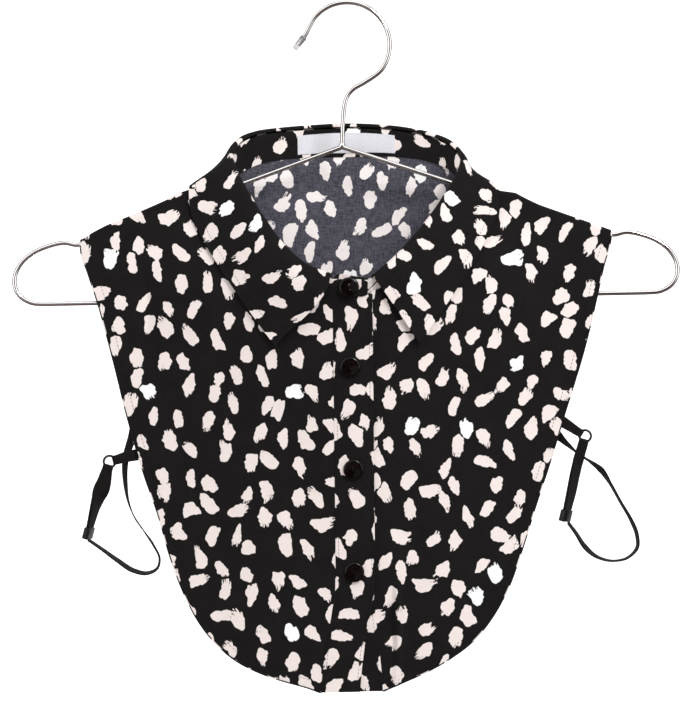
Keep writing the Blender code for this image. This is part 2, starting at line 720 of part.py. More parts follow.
def fall_grid():
    """The fall, from inside the neck over the roll to its outer edge. Its left front edge is the straight one."""
    seam, fold, leaf, upward, outward = collar_frame()
    centre = fold - upward * (FALL / 2 + ROLL) + outward * ROLL
    columns = []
    for degrees in (180, 140, 100, 60, 20):
        turn = math.radians(degrees)
        columns.append(centre + ROLL * (math.cos(turn) * outward + math.sin(turn) * upward))
    start = columns[-1]
    reach = np.linalg.norm(leaf - start, axis=1)[:, None]
    landing = unit(leaf - start)
    straight = smoothstep((0.16 - np.linspace(0, 1, len(leaf))) / 0.16)[:, None]
    leaving = unit((1 - straight) * (0.45 * outward - upward) + straight * (landing + 0.2 * outward))
    for s in (0.12, 0.3, 0.5, 0.7, 0.86, 1.0):
        columns.append(
            (2 * s**3 - 3 * s**2 + 1) * start
            + (s**3 - 2 * s**2 + s) * reach * leaving
            + (3 * s**2 - 2 * s**3) * leaf
            + (s**3 - s**2) * reach * landing
        )
    return keep_off_body(np.array(columns))


def label():
    """A blank woven label on the inside of the stand, made from the stand's points, moved in."""
    top, bottom = stand_edges()
    outward = collar_frame()[-1]
    inward = -outward * (BAND / 2 + GAP + LABEL_WALL / 2)
    rows = []
    for share in (0.03, 0.4, 0.8):
        line = (bottom + (top - bottom) * share + inward)[bottom[:, 1] > 8]
        order = np.argsort(line[:, 0])
        x = np.linspace(LABEL_FROM, LABEL_TO, 9)
        rows.append(np.stack([x] + [np.interp(x, line[order, 0], line[order, k]) for k in (1, 2)], axis=-1))
    return sheet("label", np.array(rows), LABEL_WALL, material("label_cloth", (0.75, 0.75, 0.8), 0.8))


def collar():
    sheet("collar_stand", stand_grid(), BAND, cloth_material())
    sheet("collar_fall", fall_grid(), FALL, cloth_material())
    label()


# Buttons


def button(name, x, z):
    """A round button with a rim and a dished face, seated flat on the cloth under it."""
    radius = BUTTON / 2
    profile = (
        (0, -0.2),
        (radius * 0.5, -0.2),
        (radius * 0.86, 0.2),
        (radius, 0.9),
        (radius, 1.5),
        (radius * 0.9, 2.1),
        (radius * 0.78, 2.1),
        (radius * 0.62, 1.5),
        (0, 1.4),
    )
    made = turned(name, profile, 20, material("button_black", (0.01, 0.01, 0.01), 0.25))
    if name == "button_neck":
        surface = NECK_BUTTON_Y
        slope = 0.0
    else:
        step = 2.0
        surface = float(front_y(x, z)) - PLACKET_LIFT - CLOTH / 2
        slope = float(front_y(x, z + step) - front_y(x, z - step)) / (2 * step)
    tilt = -math.atan(slope)
    made.location = Vector((x, surface - BUTTON_CLEAR, z)) * MM
    made.rotation_euler = (math.pi / 2 + tilt, 0, 0)
    return made


# Straps


def band_grid(rows, count):
    """Edge points of a flat band that follows the rows' centre line with their width and turn."""
    path = through([(row.x, row.y, row.z) for row in rows])
    knots = np.linspace(0, 1, len(rows))
    stations = np.linspace(0, 1, count)
    centres = along(path, stations)
    ahead = unit(np.gradient(centres, axis=0))
    width = np.interp(stations, knots, [row.width for row in rows])
    turn = np.radians(np.interp(stations, knots, [row.turn for row in rows]))
    depth = np.array([0.0, 1.0, 0.0])
    beside = unit(np.cross(ahead, depth))
    facing = unit(np.cross(beside, ahead))
    across = np.cos(turn)[:, None] * beside + np.sin(turn)[:, None] * facing
    half = across * width[:, None] / 2
    return np.stack([centres - half, centres, centres + half])


def ring_mesh(name, place, wire, finish):
    turns = np.linspace(0, math.tau, 20, endpoint=False)
    points = [
        (place[0] + RING_RADIUS * math.cos(t), place[1], place[2] + RING_RADIUS * math.sin(t)) for t in turns
    ]
    return tube(name, points, wire, finish, cyclic=True)


def cut_ring_channel(piece, place):
    """Leaves room in a band's end for the ring that it holds."""
    channel = ring_mesh(piece.name + "_channel", place, RING_WIRE + 2 * GAP + 0.1, bpy.data.materials[0])
    bpy.context.view_layer.update()
    mesh = bpy.data.meshes.new_from_object(channel.evaluated_get(bpy.context.evaluated_depsgraph_get()))
    cutter = bpy.data.objects.new(piece.name + "_cutter", mesh)
    bpy.data.objects.remove(channel)
    bpy.context.scene.collection.objects.link(cutter)
    cutter.hide_render = True
    cutter.display_type = "WIRE"
    cut = piece.modifiers.new("ring channel", "BOOLEAN")
    cut.operation = "DIFFERENCE"
    cut.object = cutter


def slider(side):
    """The slider at the foot of the doubled strap: a flat frame that the strap goes through."""
    rows = STRAP[side]
    foot, above = rows[-1], rows[-3]
    down = Vector((foot.x - above.x, foot.y - above.y, foot.z - above.z)).normalized()
    turn = math.radians(foot.turn)
    beside = down.cross(Vector((0, 1, 0))).normalized()
    facing = beside.cross(down).normalized()
    across = math.cos(turn) * beside + math.sin(turn) * facing
    normal = down.cross(across).normalized()
    shape = bmesh.new()
    outer = (foot.width / 2 + 1.5, BAND_WALL["strap"] / 2 + 1.3)
    inner = (foot.width / 2 + GAP, BAND_WALL["strap"] / 2 + GAP)
    loops = []
    for height, (a, b) in ((0, outer), (SLIDER_LENGTH, outer), (SLIDER_LENGTH, inner), (0, inner)):
        corners = []
        for u, v in ((-a, -b), (a, -b), (a, b), (-a, b)):
            corners.append(shape.verts.new(across * u * MM + normal * v * MM + down * height * MM))
        loops.append(corners)
    for one, other in zip(loops, loops[1:] + loops[:1]):
        for k in range(4):
            shape.faces.new((one[k], one[(k + 1) % 4], other[(k + 1) % 4], other[k]))
    bmesh.ops.recalc_face_normals(shape, faces=shape.faces)
    mesh = bpy.data.meshes.new("slider_" + side)
    shape.to_mesh(mesh)
    shape.free()
    made = add("slider_" + side, mesh, material("slider_black", (0.012, 0.012, 0.012), 0.35))
    start = Vector((foot.x, foot.y, foot.z)) - down * (SLIDER_LENGTH - 1.2)
    made.location = start * MM
    return made


def strap_side(side):
    elastic = material("elastic_black", (0.02, 0.016, 0.016), 0.7)
    metal = material("ring_black", (0.03, 0.03, 0.03), 0.3)
    ring_mesh("ring_" + side, RING_AT[side], RING_WIRE, metal)
    for kind, rows, count in (("tab", TAB[side], 9), ("strap", STRAP[side], 14)):
        piece = sheet(f"{kind}_{side}", band_grid(rows, count), BAND_WALL[kind], elastic)
        cut_ring_channel(piece, RING_AT[side])
    sheet("elastic_" + side, band_grid(ELASTIC[side], 44), BAND_WALL["elastic"], elastic)
    slider(side)


# The hanger


def hanger():
    chrome = material("chrome_wire", (0.7, 0.7, 0.72), 0.18, metallic=1.0)
    for side in (-1, 1):
        name = "hanger_arm_right" if side < 0 else "hanger_arm_left"
        tube(name, arm_points(side), WIRE, chrome)
    bar_reach = ARM_END_X - GAP
    tube("hanger_bar", [(-bar_reach, 0, BAR_Z), (bar_reach, 0, BAR_Z)], WIRE, chrome)
    tube("hanger_hook", hook_points(), WIRE, chrome)
    hook_tip()


def arm_points(side):
    """From the apex down the shoulder, over the notch's dip and round the end loop to the bar."""
    start = (APEX_X + side * ARM_START, APEX_Z - 0.1)
    along_arm = [(side * x, APEX_Z - 0.1 - ARM_SLOPE * (x + side * -APEX_X)) for x in (40.0, 90.0, 135.0, 150.0)]
    loop = [
        (side * 156.5, -140.0),
        (side * 161.5, -141.4),
        (side * 168.5, -140.0),
        (side * 179.0, -141.8),
        (side * 188.0, -145.6),
        (side * 195.0, -151.2),
        (side * 199.2, -158.6),
        (side * 199.6, -165.6),
        (side * 196.2, -172.0),
        (side * 189.6, -175.8),
        (side * ARM_END_X, BAR_Z),
    ]
    flat = even(through([start] + along_arm + loop), ARM_POINTS)
    return [(x, 0.0, z) for x, z in flat]


def hook_points():
    """A flared tip, a round bow, a bend back to the middle and the straight shank."""
    bow = []
    for degrees in range(136, -46, -13):
        turn = math.radians(degrees)
        bow.append((HOOK_CENTRE_X + HOOK_RADIUS * math.cos(turn), HOOK_CENTRE_Z + HOOK_RADIUS * math.sin(turn)))
    tip = [(-26.2, -23.6), (-21.8, -17.6)]
    shank = [(12.4, -47.4), (6.4, -50.8), (3.0, -54.6), (1.2, -60.0), (0.0, -70.0), (APEX_X + 0.1, APEX_Z + 2.2)]
    flat = even(through(tip + bow + shank), HOOK_POINTS)
    return [(x, 0.0, z) for x, z in flat]


def hook_tip():
    """A soft clear cap that slips over the hook's end."""
    bore, outer, depth = WIRE / 2 + GAP, WIRE / 2 + 0.95, 6.0
    profile = (
        (0, -GAP),
        (bore, -GAP),
        (bore, depth),
        (outer, depth),
        (outer, -0.6),
        (outer * 0.72, -1.7),
        (0, -2.2),
    )
    made = turned("hook_tip", profile, 12, material("clear_cap", (0.8, 0.8, 0.8), 0.2))
    end, inner = (np.array(point) for point in hook_points()[:2])
    way = Vector(inner - end).normalized()
    made.rotation_euler = way.to_track_quat("Z", "Y").to_euler()
    made.location = Vector(end) * MM


def clear_scene():
    for old in list(bpy.data.objects):
        bpy.data.objects.remove(old)


def main():
    clear_scene()
    hanger()
    front_panel(-1)
    front_panel(1)
    back_panel()
    placket("placket_top", "top_seam", 1, PLACKET_LIFT)
    placket("placket_under", "under_seam", -1, -UNDER_DROP)
    collar()
    for name, (x, z) in BUTTONS.items():
        button(name, x, z)
    for side in ("right", "left"):
        strap_side(side)


main()
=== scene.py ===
# %% [markdown]
# # A detachable shirt collar on a wire hanger
#
# A dickey is the part of a shirt that shows above a pullover: a collar with a short front and back,
# buttoned down the middle and held at the waist by a strap on each side. This one hangs on a thin chrome
# wire hanger. The CAD parts fix every size. Here they are loaded first, and each piece is then made again
# in fine cloth, wire and plastic on exactly the same form.

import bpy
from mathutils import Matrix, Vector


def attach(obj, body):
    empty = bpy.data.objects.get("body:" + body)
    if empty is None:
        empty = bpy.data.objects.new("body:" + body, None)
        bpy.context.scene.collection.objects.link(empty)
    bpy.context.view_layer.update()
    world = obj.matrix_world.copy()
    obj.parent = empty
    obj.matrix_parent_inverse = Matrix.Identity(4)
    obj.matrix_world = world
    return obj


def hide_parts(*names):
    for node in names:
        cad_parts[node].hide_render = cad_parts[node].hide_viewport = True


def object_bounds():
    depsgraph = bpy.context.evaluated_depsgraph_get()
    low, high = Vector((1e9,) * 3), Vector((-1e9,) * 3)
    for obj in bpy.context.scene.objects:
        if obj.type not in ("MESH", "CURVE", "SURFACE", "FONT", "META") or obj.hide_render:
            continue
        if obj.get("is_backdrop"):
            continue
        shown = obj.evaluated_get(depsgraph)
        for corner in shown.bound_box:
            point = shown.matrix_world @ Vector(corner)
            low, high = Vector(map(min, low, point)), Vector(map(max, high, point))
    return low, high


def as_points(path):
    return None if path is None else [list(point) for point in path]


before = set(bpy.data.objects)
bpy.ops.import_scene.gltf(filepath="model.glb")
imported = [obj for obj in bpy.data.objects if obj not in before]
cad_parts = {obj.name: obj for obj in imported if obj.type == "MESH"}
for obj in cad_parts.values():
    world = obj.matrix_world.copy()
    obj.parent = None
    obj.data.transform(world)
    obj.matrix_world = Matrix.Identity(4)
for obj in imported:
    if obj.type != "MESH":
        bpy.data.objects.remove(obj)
cad_low, cad_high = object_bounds()
print("CAD box from", [round(v, 4) for v in cad_low], "to", [round(v, 4) for v in cad_high])

# %% Bring in the libraries
import math

import bmesh
import bpy
import numpy as np
from mathutils import Matrix, Vector

MM = 0.001
print("Blender", bpy.app.version_string, "and lengths in millimetres until a mesh is made")

# %% [markdown]
# ## The camera
#
# A long lens keeps a flat garment free of distortion, and the camera looks level at its middle. The hanger
# hangs a degree out of true on its rail, so the camera is rolled by that degree, and the garment is built
# upright.

# %% Place the camera
LENS = 120
CAMERA_AT = (-0.0045, -1.416, -0.2092)
ROLL = -1.1
camera = bpy.data.objects.new("camera", bpy.data.cameras.new("camera"))
camera.data.lens = LENS
camera.data.clip_end = 40
level = Matrix.Rotation(math.radians(90), 4, "X")
camera.rotation_euler = (level @ Matrix.Rotation(math.radians(ROLL), 4, "Z")).to_euler()
camera.location = CAMERA_AT
bpy.context.scene.collection.objects.link(camera)
bpy.context.scene.camera = camera
print("Camera at", CAMERA_AT, "rolled", ROLL, "degrees")

# %% [markdown]
# ## Smooth curves
#
# Every seam of the garment is a smooth line through a few measured points. These small helpers draw such a
# line, measure along it, and are used by the cords, the cloth and the wire alike.

# %% Helpers for smooth curves
STEPS = 12


def shares(s):
    """The four shares of a smooth step: of its start, the way it leaves, its end and the way it arrives."""
    return 2 * s**3 - 3 * s**2 + 1, s**3 - 2 * s**2 + s, 3 * s**2 - 2 * s**3, s**3 - s**2


def through(points):
    """A smooth curve through the points, with the same number of steps from each to the next."""
    points = np.array(points, float)
    knots = measured(points)
    slopes = np.gradient(points, knots, axis=0)
    curve = [points[:1]]
    for i in range(len(points) - 1):
        reach = knots[i + 1] - knots[i]
        start, leave, end, arrive = shares(np.linspace(0, 1, STEPS + 1)[1:, None])
        step = start * points[i] + leave * reach * slopes[i]
        curve.append(step + end * points[i + 1] + arrive * reach * slopes[i + 1])
    return np.concatenate(curve)


def measured(curve):
    """The distance along a curve to each of its points."""
    return np.concatenate([[0], np.cumsum(np.linalg.norm(np.diff(np.array(curve, float), axis=0), axis=1))])


def along(curve, fractions):
    """Points at these fractions of the curve's length."""
    curve = np.array(curve, float)
    lengths = measured(curve)
    where = np.clip(fractions, 0, 1) * lengths[-1]
    return np.stack([np.interp(where, lengths, axis) for axis in curve.T], axis=-1)


def smoothstep(value):
    value = np.clip(value, 0, 1)
    return value * value * (3 - 2 * value)


def bell(value, width):
    """A soft hump, 1 where the value is 0 and fading out over about this width."""
    return np.exp(-((value / width) ** 2))


def unit(vectors):
    return vectors / np.maximum(np.linalg.norm(vectors, axis=-1, keepdims=True), 1e-9)


print("A curve through 3 points has", len(through([(0, 0), (1, 1), (2, 0)])), "points")

# %% Put a finished mesh into the scene


def show(name, mesh, finishes, slot, *nodes):
    """An object at the origin for a mesh, riding on the garment's one body, in place of these CAD nodes."""
    for finish in finishes:
        mesh.materials.append(finish)
    made = bpy.data.objects.new(name, mesh)
    bpy.context.scene.collection.objects.link(made)
    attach(made, "root")
    if nodes:
        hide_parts(*nodes)
    return made


def mesh_from(name, net, smooth=True):
    """The mesh that a bmesh holds, with its faces smooth or flat."""
    for face in net.faces:
        face.smooth = smooth
    mesh = bpy.data.meshes.new(name)
    net.to_mesh(mesh)
    net.free()
    return mesh


def turned(profile, steps, scale=MM, closed=False):
    """A shape turned round Z from its side view, given as radius and height. A closed one makes a ring."""
    net = bmesh.new()
    rings = []
    for radius, height in profile:
        ring = []
        for turn in [math.tau * k / steps for k in range(steps if radius else 1)]:
            x, y = radius * math.cos(turn), radius * math.sin(turn)
            ring.append(net.verts.new((x * scale, y * scale, height * scale)))
        rings.append(ring if radius else ring * steps)
    for ring, following in zip(rings, rings[1:] + rings[: int(closed)]):
        for k in range(steps):
            corners = (ring[k], ring[k - 1], following[k - 1], following[k])
            net.faces.new(tuple(dict.fromkeys(corners)))
    bmesh.ops.recalc_face_normals(net, faces=net.faces)
    return net


def wall(piece, thickness, rounded=0.0, reverse=0):
    """Gives a sheet its thickness, half on each side. The reverse may take the next material."""
    shell = piece.modifiers.new("thickness", "SOLIDIFY")
    shell.thickness = thickness * MM
    shell.offset = 0
    shell.material_offset = reverse
    if rounded:
        bevel = piece.modifiers.new("rounded edge", "BEVEL")
        bevel.width = rounded * MM
        bevel.segments = 2
        bevel.limit_method = "ANGLE"
        bevel.angle_limit = math.radians(55)
    return piece


print("Helpers ready")

# %% [markdown]
# ## Finishes
#
# Each finish is a small tree of nodes. A helper adds a node and feeds its inputs in one line, and what
# comes out of it can be added, multiplied and compared with Python's own signs, so that the trees below
# read as sums. Colours are given as they look on a screen and turned into light values.

# %% Helpers for node trees


class Flow:
    """What flows out of a node. A sign between two flows, or a flow and a number, adds a Math node."""

    def __init__(self, tree, socket):
        self.tree = tree
        self.socket = socket

    def __add__(self, other):
        return maths("ADD", self, other)

    def __sub__(self, other):
        return maths("SUBTRACT", self, other)

    def __mul__(self, other):
        return maths("MULTIPLY", self, other)

    def __truediv__(self, other):
        return maths("DIVIDE", self, other)

    def __pow__(self, other):
        return maths("POWER", self, other)

    def __gt__(self, other):
        return maths("GREATER_THAN", self, other)

    def __abs__(self):
        return maths("ABSOLUTE", self)


def feed(made, feeds):
    """Sets a node's inputs, by name or number, each to a plain value or to what flows from another node."""
    for socket, value in feeds.items():
        if isinstance(value, Flow):
            value.tree.links.new(value.socket, made.inputs[socket])
        else:
            made.inputs[socket].default_value = value


def node(tree, kind, feeds=(), out=0, **settings):
    """Adds a node with these settings and feeds, and gives what flows out of it at one socket or more."""
    made = tree.nodes.new("ShaderNode" + kind)
    for key, value in settings.items():
        setattr(made, key, value)
    feed(made, dict(feeds))
    if isinstance(out, tuple):
        return [Flow(tree, made.outputs[socket]) for socket in out]
    return Flow(tree, made.outputs[out])


def maths(operation, *values, kind="Math"):
    tree = next(value.tree for value in values if isinstance(value, Flow))
    return node(tree, kind, enumerate(values), operation=operation)


def vectors(operation, *values):
    return maths(operation, *values, kind="VectorMath")


def turned_by(place, angle):
    return node(place.tree, "VectorRotate", {"Vector": place, "Angle": angle}, rotation_type="Z_AXIS")


def remap(value, *limits, smooth=False):
    """Carries a value from one pair of limits over to another, in a straight or a smooth step."""
    kind = "SMOOTHSTEP" if smooth else "LINEAR"
    return node(value.tree, "MapRange", enumerate((value, *limits)), interpolation_type=kind)


def blend(share, one, other):
    return node(share.tree, "Mix", {0: share, 6: one, 7: other}, 2, data_type="RGBA")


def screen(colour, times=1.0):
    """A colour as it looks on a screen, from 0 to 255, as the light values that a shader takes."""
    shown = [c * times / 255 for c in colour]
    return (*[c / 12.92 if c < 11 / 255 else ((c + 0.055) / 1.055) ** 2.4 for c in shown], 1)


def noise(place, scale, detail=2.0, roughness=0.5, dimensions="3D", out=0):
    feeds = {"Vector": place, "Scale": scale, "Detail": detail, "Roughness": roughness}
    return node(place.tree, "TexNoise", feeds, out, noise_dimensions=dimensions)


def bump(shader, height, strength, distance):
    """Turns a height into bump on the shader, after any bump that is already there."""
    feeds = {"Height": height, "Strength": strength, "Distance": distance}
    if shader.inputs["Normal"].links:
        feeds["Normal"] = Flow(height.tree, shader.inputs["Normal"].links[0].from_socket)
    feed(shader, {"Normal": node(height.tree, "Bump", feeds)})


def new_finish(name, roughness, metallic=0.0, is_cloth=False):
    """An empty finish, its main shader, and where its patterns are read: in the object or along the cloth."""
    made = bpy.data.materials.new(name)
    made.use_nodes = True
    shader = made.node_tree.nodes["Principled BSDF"]
    feed(shader, {"Roughness": roughness, "Metallic": metallic})
    if is_cloth:
        return made, shader, node(made.node_tree, "UVMap", uv_map="cloth")
    return made, shader, node(made.node_tree, "TexCoord", out="Object")


print("Black cloth is", [round(c, 4) for c in screen((30, 29, 29))])

# %% [markdown]
# ## The print
#
# The cloth is a thin black crepe printed with loose brush dabs. Each dab lies in one cell of a Voronoi
# texture: the cell's own random colour gives the dab its size, tilt and taper, and noise frays its outline.
# The pattern reads the UV map, which holds real metres along the cloth, so the dabs keep their size where
# the cloth bends.

# %% Helper for the brush dabs
DAB_EVERY = 0.0161
DAB_HALF_WIDTH = (0.0028, 0.0042)
DAB_HALF_HEIGHT = (0.0049, 0.0072)
DAB_TILT = math.radians(38)
LATTICE_TURN = math.radians(24)
DAB_SCATTER = 0.6
WAVER = 0.0015
LYING_SHARE = 0.12
LYING_TILT = 1.2
WHITER_SHARE = 0.045


def brush_dabs(flat):
    """Where the dabs are, from 0 to 1, and which of them are a purer white."""
    aslant = turned_by(flat, LATTICE_TURN)
    waver = vectors("SUBTRACT", noise(aslant, 230, 2.0, 0.55, "2D", "Color"), (0.5, 0.5, 0.5))
    shifted = node(flat.tree, "VectorMath", {0: waver, "Scale": WAVER}, operation="SCALE")
    place = vectors("ADD", aslant, shifted)
    feeds = {"Vector": place, "Scale": 1 / DAB_EVERY, "Randomness": DAB_SCATTER}
    colour, middle = node(flat.tree, "TexVoronoi", feeds, ("Color", "Position"), voronoi_dimensions="2D")

    # six random numbers of each dab
    first, second, third = node(flat.tree, "SeparateColor", {0: colour}, (0, 1, 2))
    fourth, fifth, sixth = (maths("FRACT", n * k) for n, k in ((first, 7.31), (second, 5.17), (third, 9.73)))

    # its own axes, tilted and scaled to its half width and half height
    tilt = remap(first, 0, 1, -DAB_TILT - LATTICE_TURN, DAB_TILT - LATTICE_TURN)
    tilt = tilt + (fifth > 1 - LYING_SHARE) * LYING_TILT
    own = turned_by(vectors("SUBTRACT", place, middle), tilt)
    across, upward = node(flat.tree, "SeparateXYZ", {0: own}, (0, 1))
    upward = upward / remap(second, 0, 1, *DAB_HALF_HEIGHT) * ((fifth > 0.5) * 2.0 - 1.0)
    taper = maths("MULTIPLY_ADD", upward, remap(fourth, 0, 1, -0.42, 0.30), 1.0)
    across = across / (remap(third, 0, 1, *DAB_HALF_WIDTH) * taper)
    across = across + remap(sixth, 0, 1, -0.4, 0.4) * abs(upward) ** 2.0

    # how far out a point lies, from a round to a squarish dab, with lobes and a dry end of bristle marks
    corner = remap(fifth, 0, 1, 1.6, 2.9)
    reach = (abs(across) ** corner + abs(upward) ** corner) ** maths("DIVIDE", 1.0, corner)
    seed = vectors("MULTIPLY", colour, (40, 70, 30))
    lobes = noise(vectors("ADD", vectors("NORMALIZE", own), seed), 1.2, 1.0)
    reach = reach + remap(lobes, 0.2, 0.8, -0.27, 0.29)
    dry_end = remap(upward, 0.2, 0.85, 0.0, 1.0, smooth=True) * remap(sixth, 0.3, 0.6, 0.1, 1.0)
    bristles = vectors("ADD", node(flat.tree, "CombineXYZ", {0: across * 1.9, 1: upward * 0.6}), seed)
    reach = reach + dry_end * remap(noise(bristles, 1.7, 1.5), 0.48, 0.60, -0.03, 0.5)
    holes = noise(vectors("MULTIPLY", bristles, (1.7, 1.5, 1)), 2.2, 1.0)
    holes = remap(holes, 0.62, 0.66, 0.0, 1.0) * dry_end
    mask = remap(reach, 0.97, 1.03, 1.0, 0.0, smooth=True) * maths("SUBTRACT", 1.0, holes)
    return mask, third > 1 - WHITER_SHARE


print("One dab for every", round(DAB_EVERY * 1000, 1), "mm of cloth each way")

# %% [markdown]
# Crepe is matt and slightly grainy, with hardly any mirror-like gloss, so its specular level is low and a
# fine sheen catches the light where the cloth turns away. The ink lies on the face, and the reverse is a
# slate grey where the black shows through thinly. Its dabs are pale where the base cloth shows, and painted
# paler than the face's as painted light for the shade inside the neck.

# %% Make the cloth finishes


def cloth_finish(name, ground, ink, sheen, threads_every, shows):
    """Crepe of a ground colour with dabs of an ink, and how much its threads show."""
    made, shader, flat = new_finish(name, 0.88, is_cloth=True)
    mask, whiter = brush_dabs(flat)
    mottle = noise(flat, 60, 3.0, 0.6, "2D")
    stretched = [vectors("MULTIPLY", flat, by) for by in ((1.0, 0.16, 1.0), (0.16, 1.0, 1.0))]
    warp, weft = (noise(place, 1 / threads_every, 2.0, 0.6, "2D") for place in stretched)
    weave = warp + weft
    dark = blend(remap(mottle, 0.3, 0.7, 0.0, 1.0), screen(ground), screen(ground, 1.18))
    dark = blend(remap(weave, 0.8, 1.25, 0.0, shows), dark, screen(ground, 1.6))
    pale = blend(whiter, screen(ink), screen((252, 252, 252)))
    pale = blend(remap(weave, 1.0, 0.7, 0.0, 0.25), pale, screen(ink, 0.9))
    feed(shader, {"Base Color": blend(mask, dark, pale), "Specular IOR Level": 0.08})
    feed(shader, {"Sheen Weight": sheen, "Sheen Roughness": 0.5})
    bump(shader, weave, 0.5, 0.00009)
    bump(shader, noise(flat, 520, 3.0, 0.6, "2D"), 0.35, 0.00025)
    bump(shader, mask, 0.4, 0.00003)
    return made


printed = cloth_finish("printed_crepe", (21, 19, 19), (237, 225, 221), 0.03, 0.0004, 0.3)
# the reverse's dabs are pale where the base cloth shows, and painted paler than the face's: painted light for
# the shade inside the neck
reverse = cloth_finish("crepe_reverse", (59, 58, 65), (250, 242, 240), 0.04, 0.0008, 1.0)
print("Cloth finishes:", printed.name, reverse.name)

# %% [markdown]
# The label is a satin ribbon woven in fine cross ribs. The elastics are knitted in narrow lengthwise ribs.
# The buttons are cast resin with a faint brown depth, the rings lacquered metal, the sliders moulded
# plastic, and the thread is twisted black polyester.

# %% Make the finishes of the trims


def ribbed_finish(name, colour, roughness, ribs, depth, along_axis, sheen, valley_shade):
    """Cloth with ribs that run across or along a band, at this many ribs a metre, with painted shade in their
    valleys.
    """
    made, shader, flat = new_finish(name, roughness, is_cloth=True)
    u, v = node(flat.tree, "SeparateXYZ", {0: flat}, (0, 1))
    rib, cross_rib = (v, u) if along_axis else (u, v)
    height = maths("SINE", rib * (ribs * math.tau))
    height = height + maths("SINE", cross_rib * (ribs * math.tau * 0.72)) * 0.35
    fuzz = noise(flat, 900, 3.0, 0.65, "2D")
    # painted shade: the colour darkens from each rib's crown into its valley
    shade = blend(remap(height, -1.2, 1.0, 0.0, 1.0), screen(colour, 1 - valley_shade), screen(colour))
    fluff = [min(c * 1.2 + 4, 250) for c in colour]
    shade = blend(remap(fuzz, 0.35, 0.75, 0.0, 0.35), shade, screen(fluff))
    feed(shader, {"Base Color": shade, "Specular IOR Level": 0.14, "Sheen Weight": sheen})
    bump(shader, height, 0.6, depth)
    bump(shader, fuzz, 0.3, 0.0001)
    return made


def moulded_finish(name, colour, lighter, roughness, coat, scale):
    """Cast or moulded plastic with a faint cloud in its colour and a slightly uneven polish."""
    made, shader, place = new_finish(name, roughness)
    cloud = noise(place, scale, 4.0, 0.6)
    wear = noise(place, 1900, 3.0, 0.7)
    shade = blend(remap(cloud, 0.35, 0.75, 0.0, 1.0), screen(colour), screen(lighter))
    polish = remap(wear, 0.3, 0.8, roughness * 0.75, roughness * 1.5)
    feed(shader, {"Base Color": shade, "Roughness": polish, "Specular IOR Level": 0.2})
    feed(shader, {"Coat Weight": coat, "Coat Roughness": 0.06})
    bump(shader, wear, 0.12, 0.00006)
    return made


label_satin = ribbed_finish("label_satin", (222, 221, 228), 0.62, 1500, 0.00005, True, 0.15, 0.05)
knitted = ribbed_finish("elastic_knit", (23, 19, 19), 0.85, 1100, 0.00012, False, 0.03, 0.45)
thread = ribbed_finish("black_thread", (12, 11, 11), 0.85, 2200, 0.00008, False, 0.03, 0.4)
pale_thread = ribbed_finish("pale_thread", (214, 214, 224), 0.75, 2200, 0.00008, False, 0.2, 0.15)
button_resin = moulded_finish("button_resin", (8, 5, 4), (19, 11, 9), 0.07, 0.0, 260)
slider_plastic = moulded_finish("slider_plastic", (8, 6, 6), (14, 11, 11), 0.3, 0.05, 500)
ring_lacquer = moulded_finish("ring_lacquer", (20, 20, 20), (34, 32, 32), 0.3, 0.5, 700)
print("Trim finishes:", len(bpy.data.materials))

# %% [markdown]
# The hanger is drawn steel wire with a chrome plate. Drawing leaves hair lines along a wire, here a fine
# noise that varies the polish, and handling leaves faint dull patches. The cap on the hook's tip is clear
# soft plastic.

# %% Make the finishes of the hanger
chrome, shader, place = new_finish("chrome_plate", 0.09, 1.0)
patches, lines = noise(place, 120, 4.0, 0.6), noise(place, 2400, 2.0, 0.6)
plate = blend(remap(patches, 0.35, 0.7, 0.0, 1.0), screen((222, 218, 217)), screen((240, 237, 236)))
polish = remap(patches, 0.3, 0.75, 0.01, 0.04) + remap(lines, 0.45, 0.8, 0.0, 0.02)
feed(shader, {"Base Color": plate, "Roughness": polish, "Specular Tint": (0.30, 0.28, 0.28, 1)})
bump(shader, lines, 0.04, 0.00002)

clear_cap, shader, place = new_finish("clear_cap_plastic", 0.05)
haze = noise(place, 700, 3.0, 0.6)
tint = blend(remap(haze, 0.3, 0.8, 0.0, 1.0), screen((253, 253, 253)), screen((243, 244, 245)))
feed(shader, {"Base Color": tint, "Roughness": remap(haze, 0.3, 0.8, 0.01, 0.07)})
feed(shader, {"Transmission Weight": 0.92, "IOR": 1.3})
print("Hanger finishes:", chrome.name, clear_cap.name)

# %% [markdown]
# ## The floor and the light
#
# Black cloth with pale dabs needs even light, so the whole set is one large pale bowl, as a light tent is:
# a floor that sweeps up into a round wall, which glows more the farther it lies behind the garment. A large
# soft light from the upper right front models the folds, a weaker one fills from the left, one overhead
# draws the gloss on wire and buttons, and one from behind draws their rims.

# %% Build the bowl
FLOOR_Z = -0.8
BOWL_RADIUS = 4.2
BOWL_CURVE = 1.4
BOWL_TOP = 2.6
flat_radius = BOWL_RADIUS - BOWL_CURVE
outline = [(0.0, FLOOR_Z), (flat_radius, FLOOR_Z)]
for degrees in range(10, 91, 10):
    turn = math.radians(degrees)
    outline.append((flat_radius + BOWL_CURVE * math.sin(turn), FLOOR_Z + BOWL_CURVE * (1 - math.cos(turn))))
outline.append((BOWL_RADIUS, BOWL_TOP))
bowl = bpy.data.objects.new("pale_bowl", mesh_from("pale_bowl", turned(outline, 72, scale=1)))
bpy.context.scene.collection.objects.link(bowl)
bowl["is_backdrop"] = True
paper, shader, place = new_finish("pale_paper", 0.9)
grain = blend(noise(place, 30, 3.0), screen((194, 194, 194)), screen((200, 200, 200)))
behind_it = node(place.tree, "SeparateXYZ", {0: place}, 1)
feed(shader, {"Base Color": grain, "Specular IOR Level": 0.1})
glow = remap(behind_it, -1.0, 3.4, 0.04, 0.8, smooth=True)
feed(shader, {"Emission Color": (1, 1, 1, 1), "Emission Strength": glow})
bowl.visible_glossy = False
bowl.visible_transmission = False
bowl.data.materials.append(paper)
print("Bowl with", len(bowl.data.polygons), "faces")

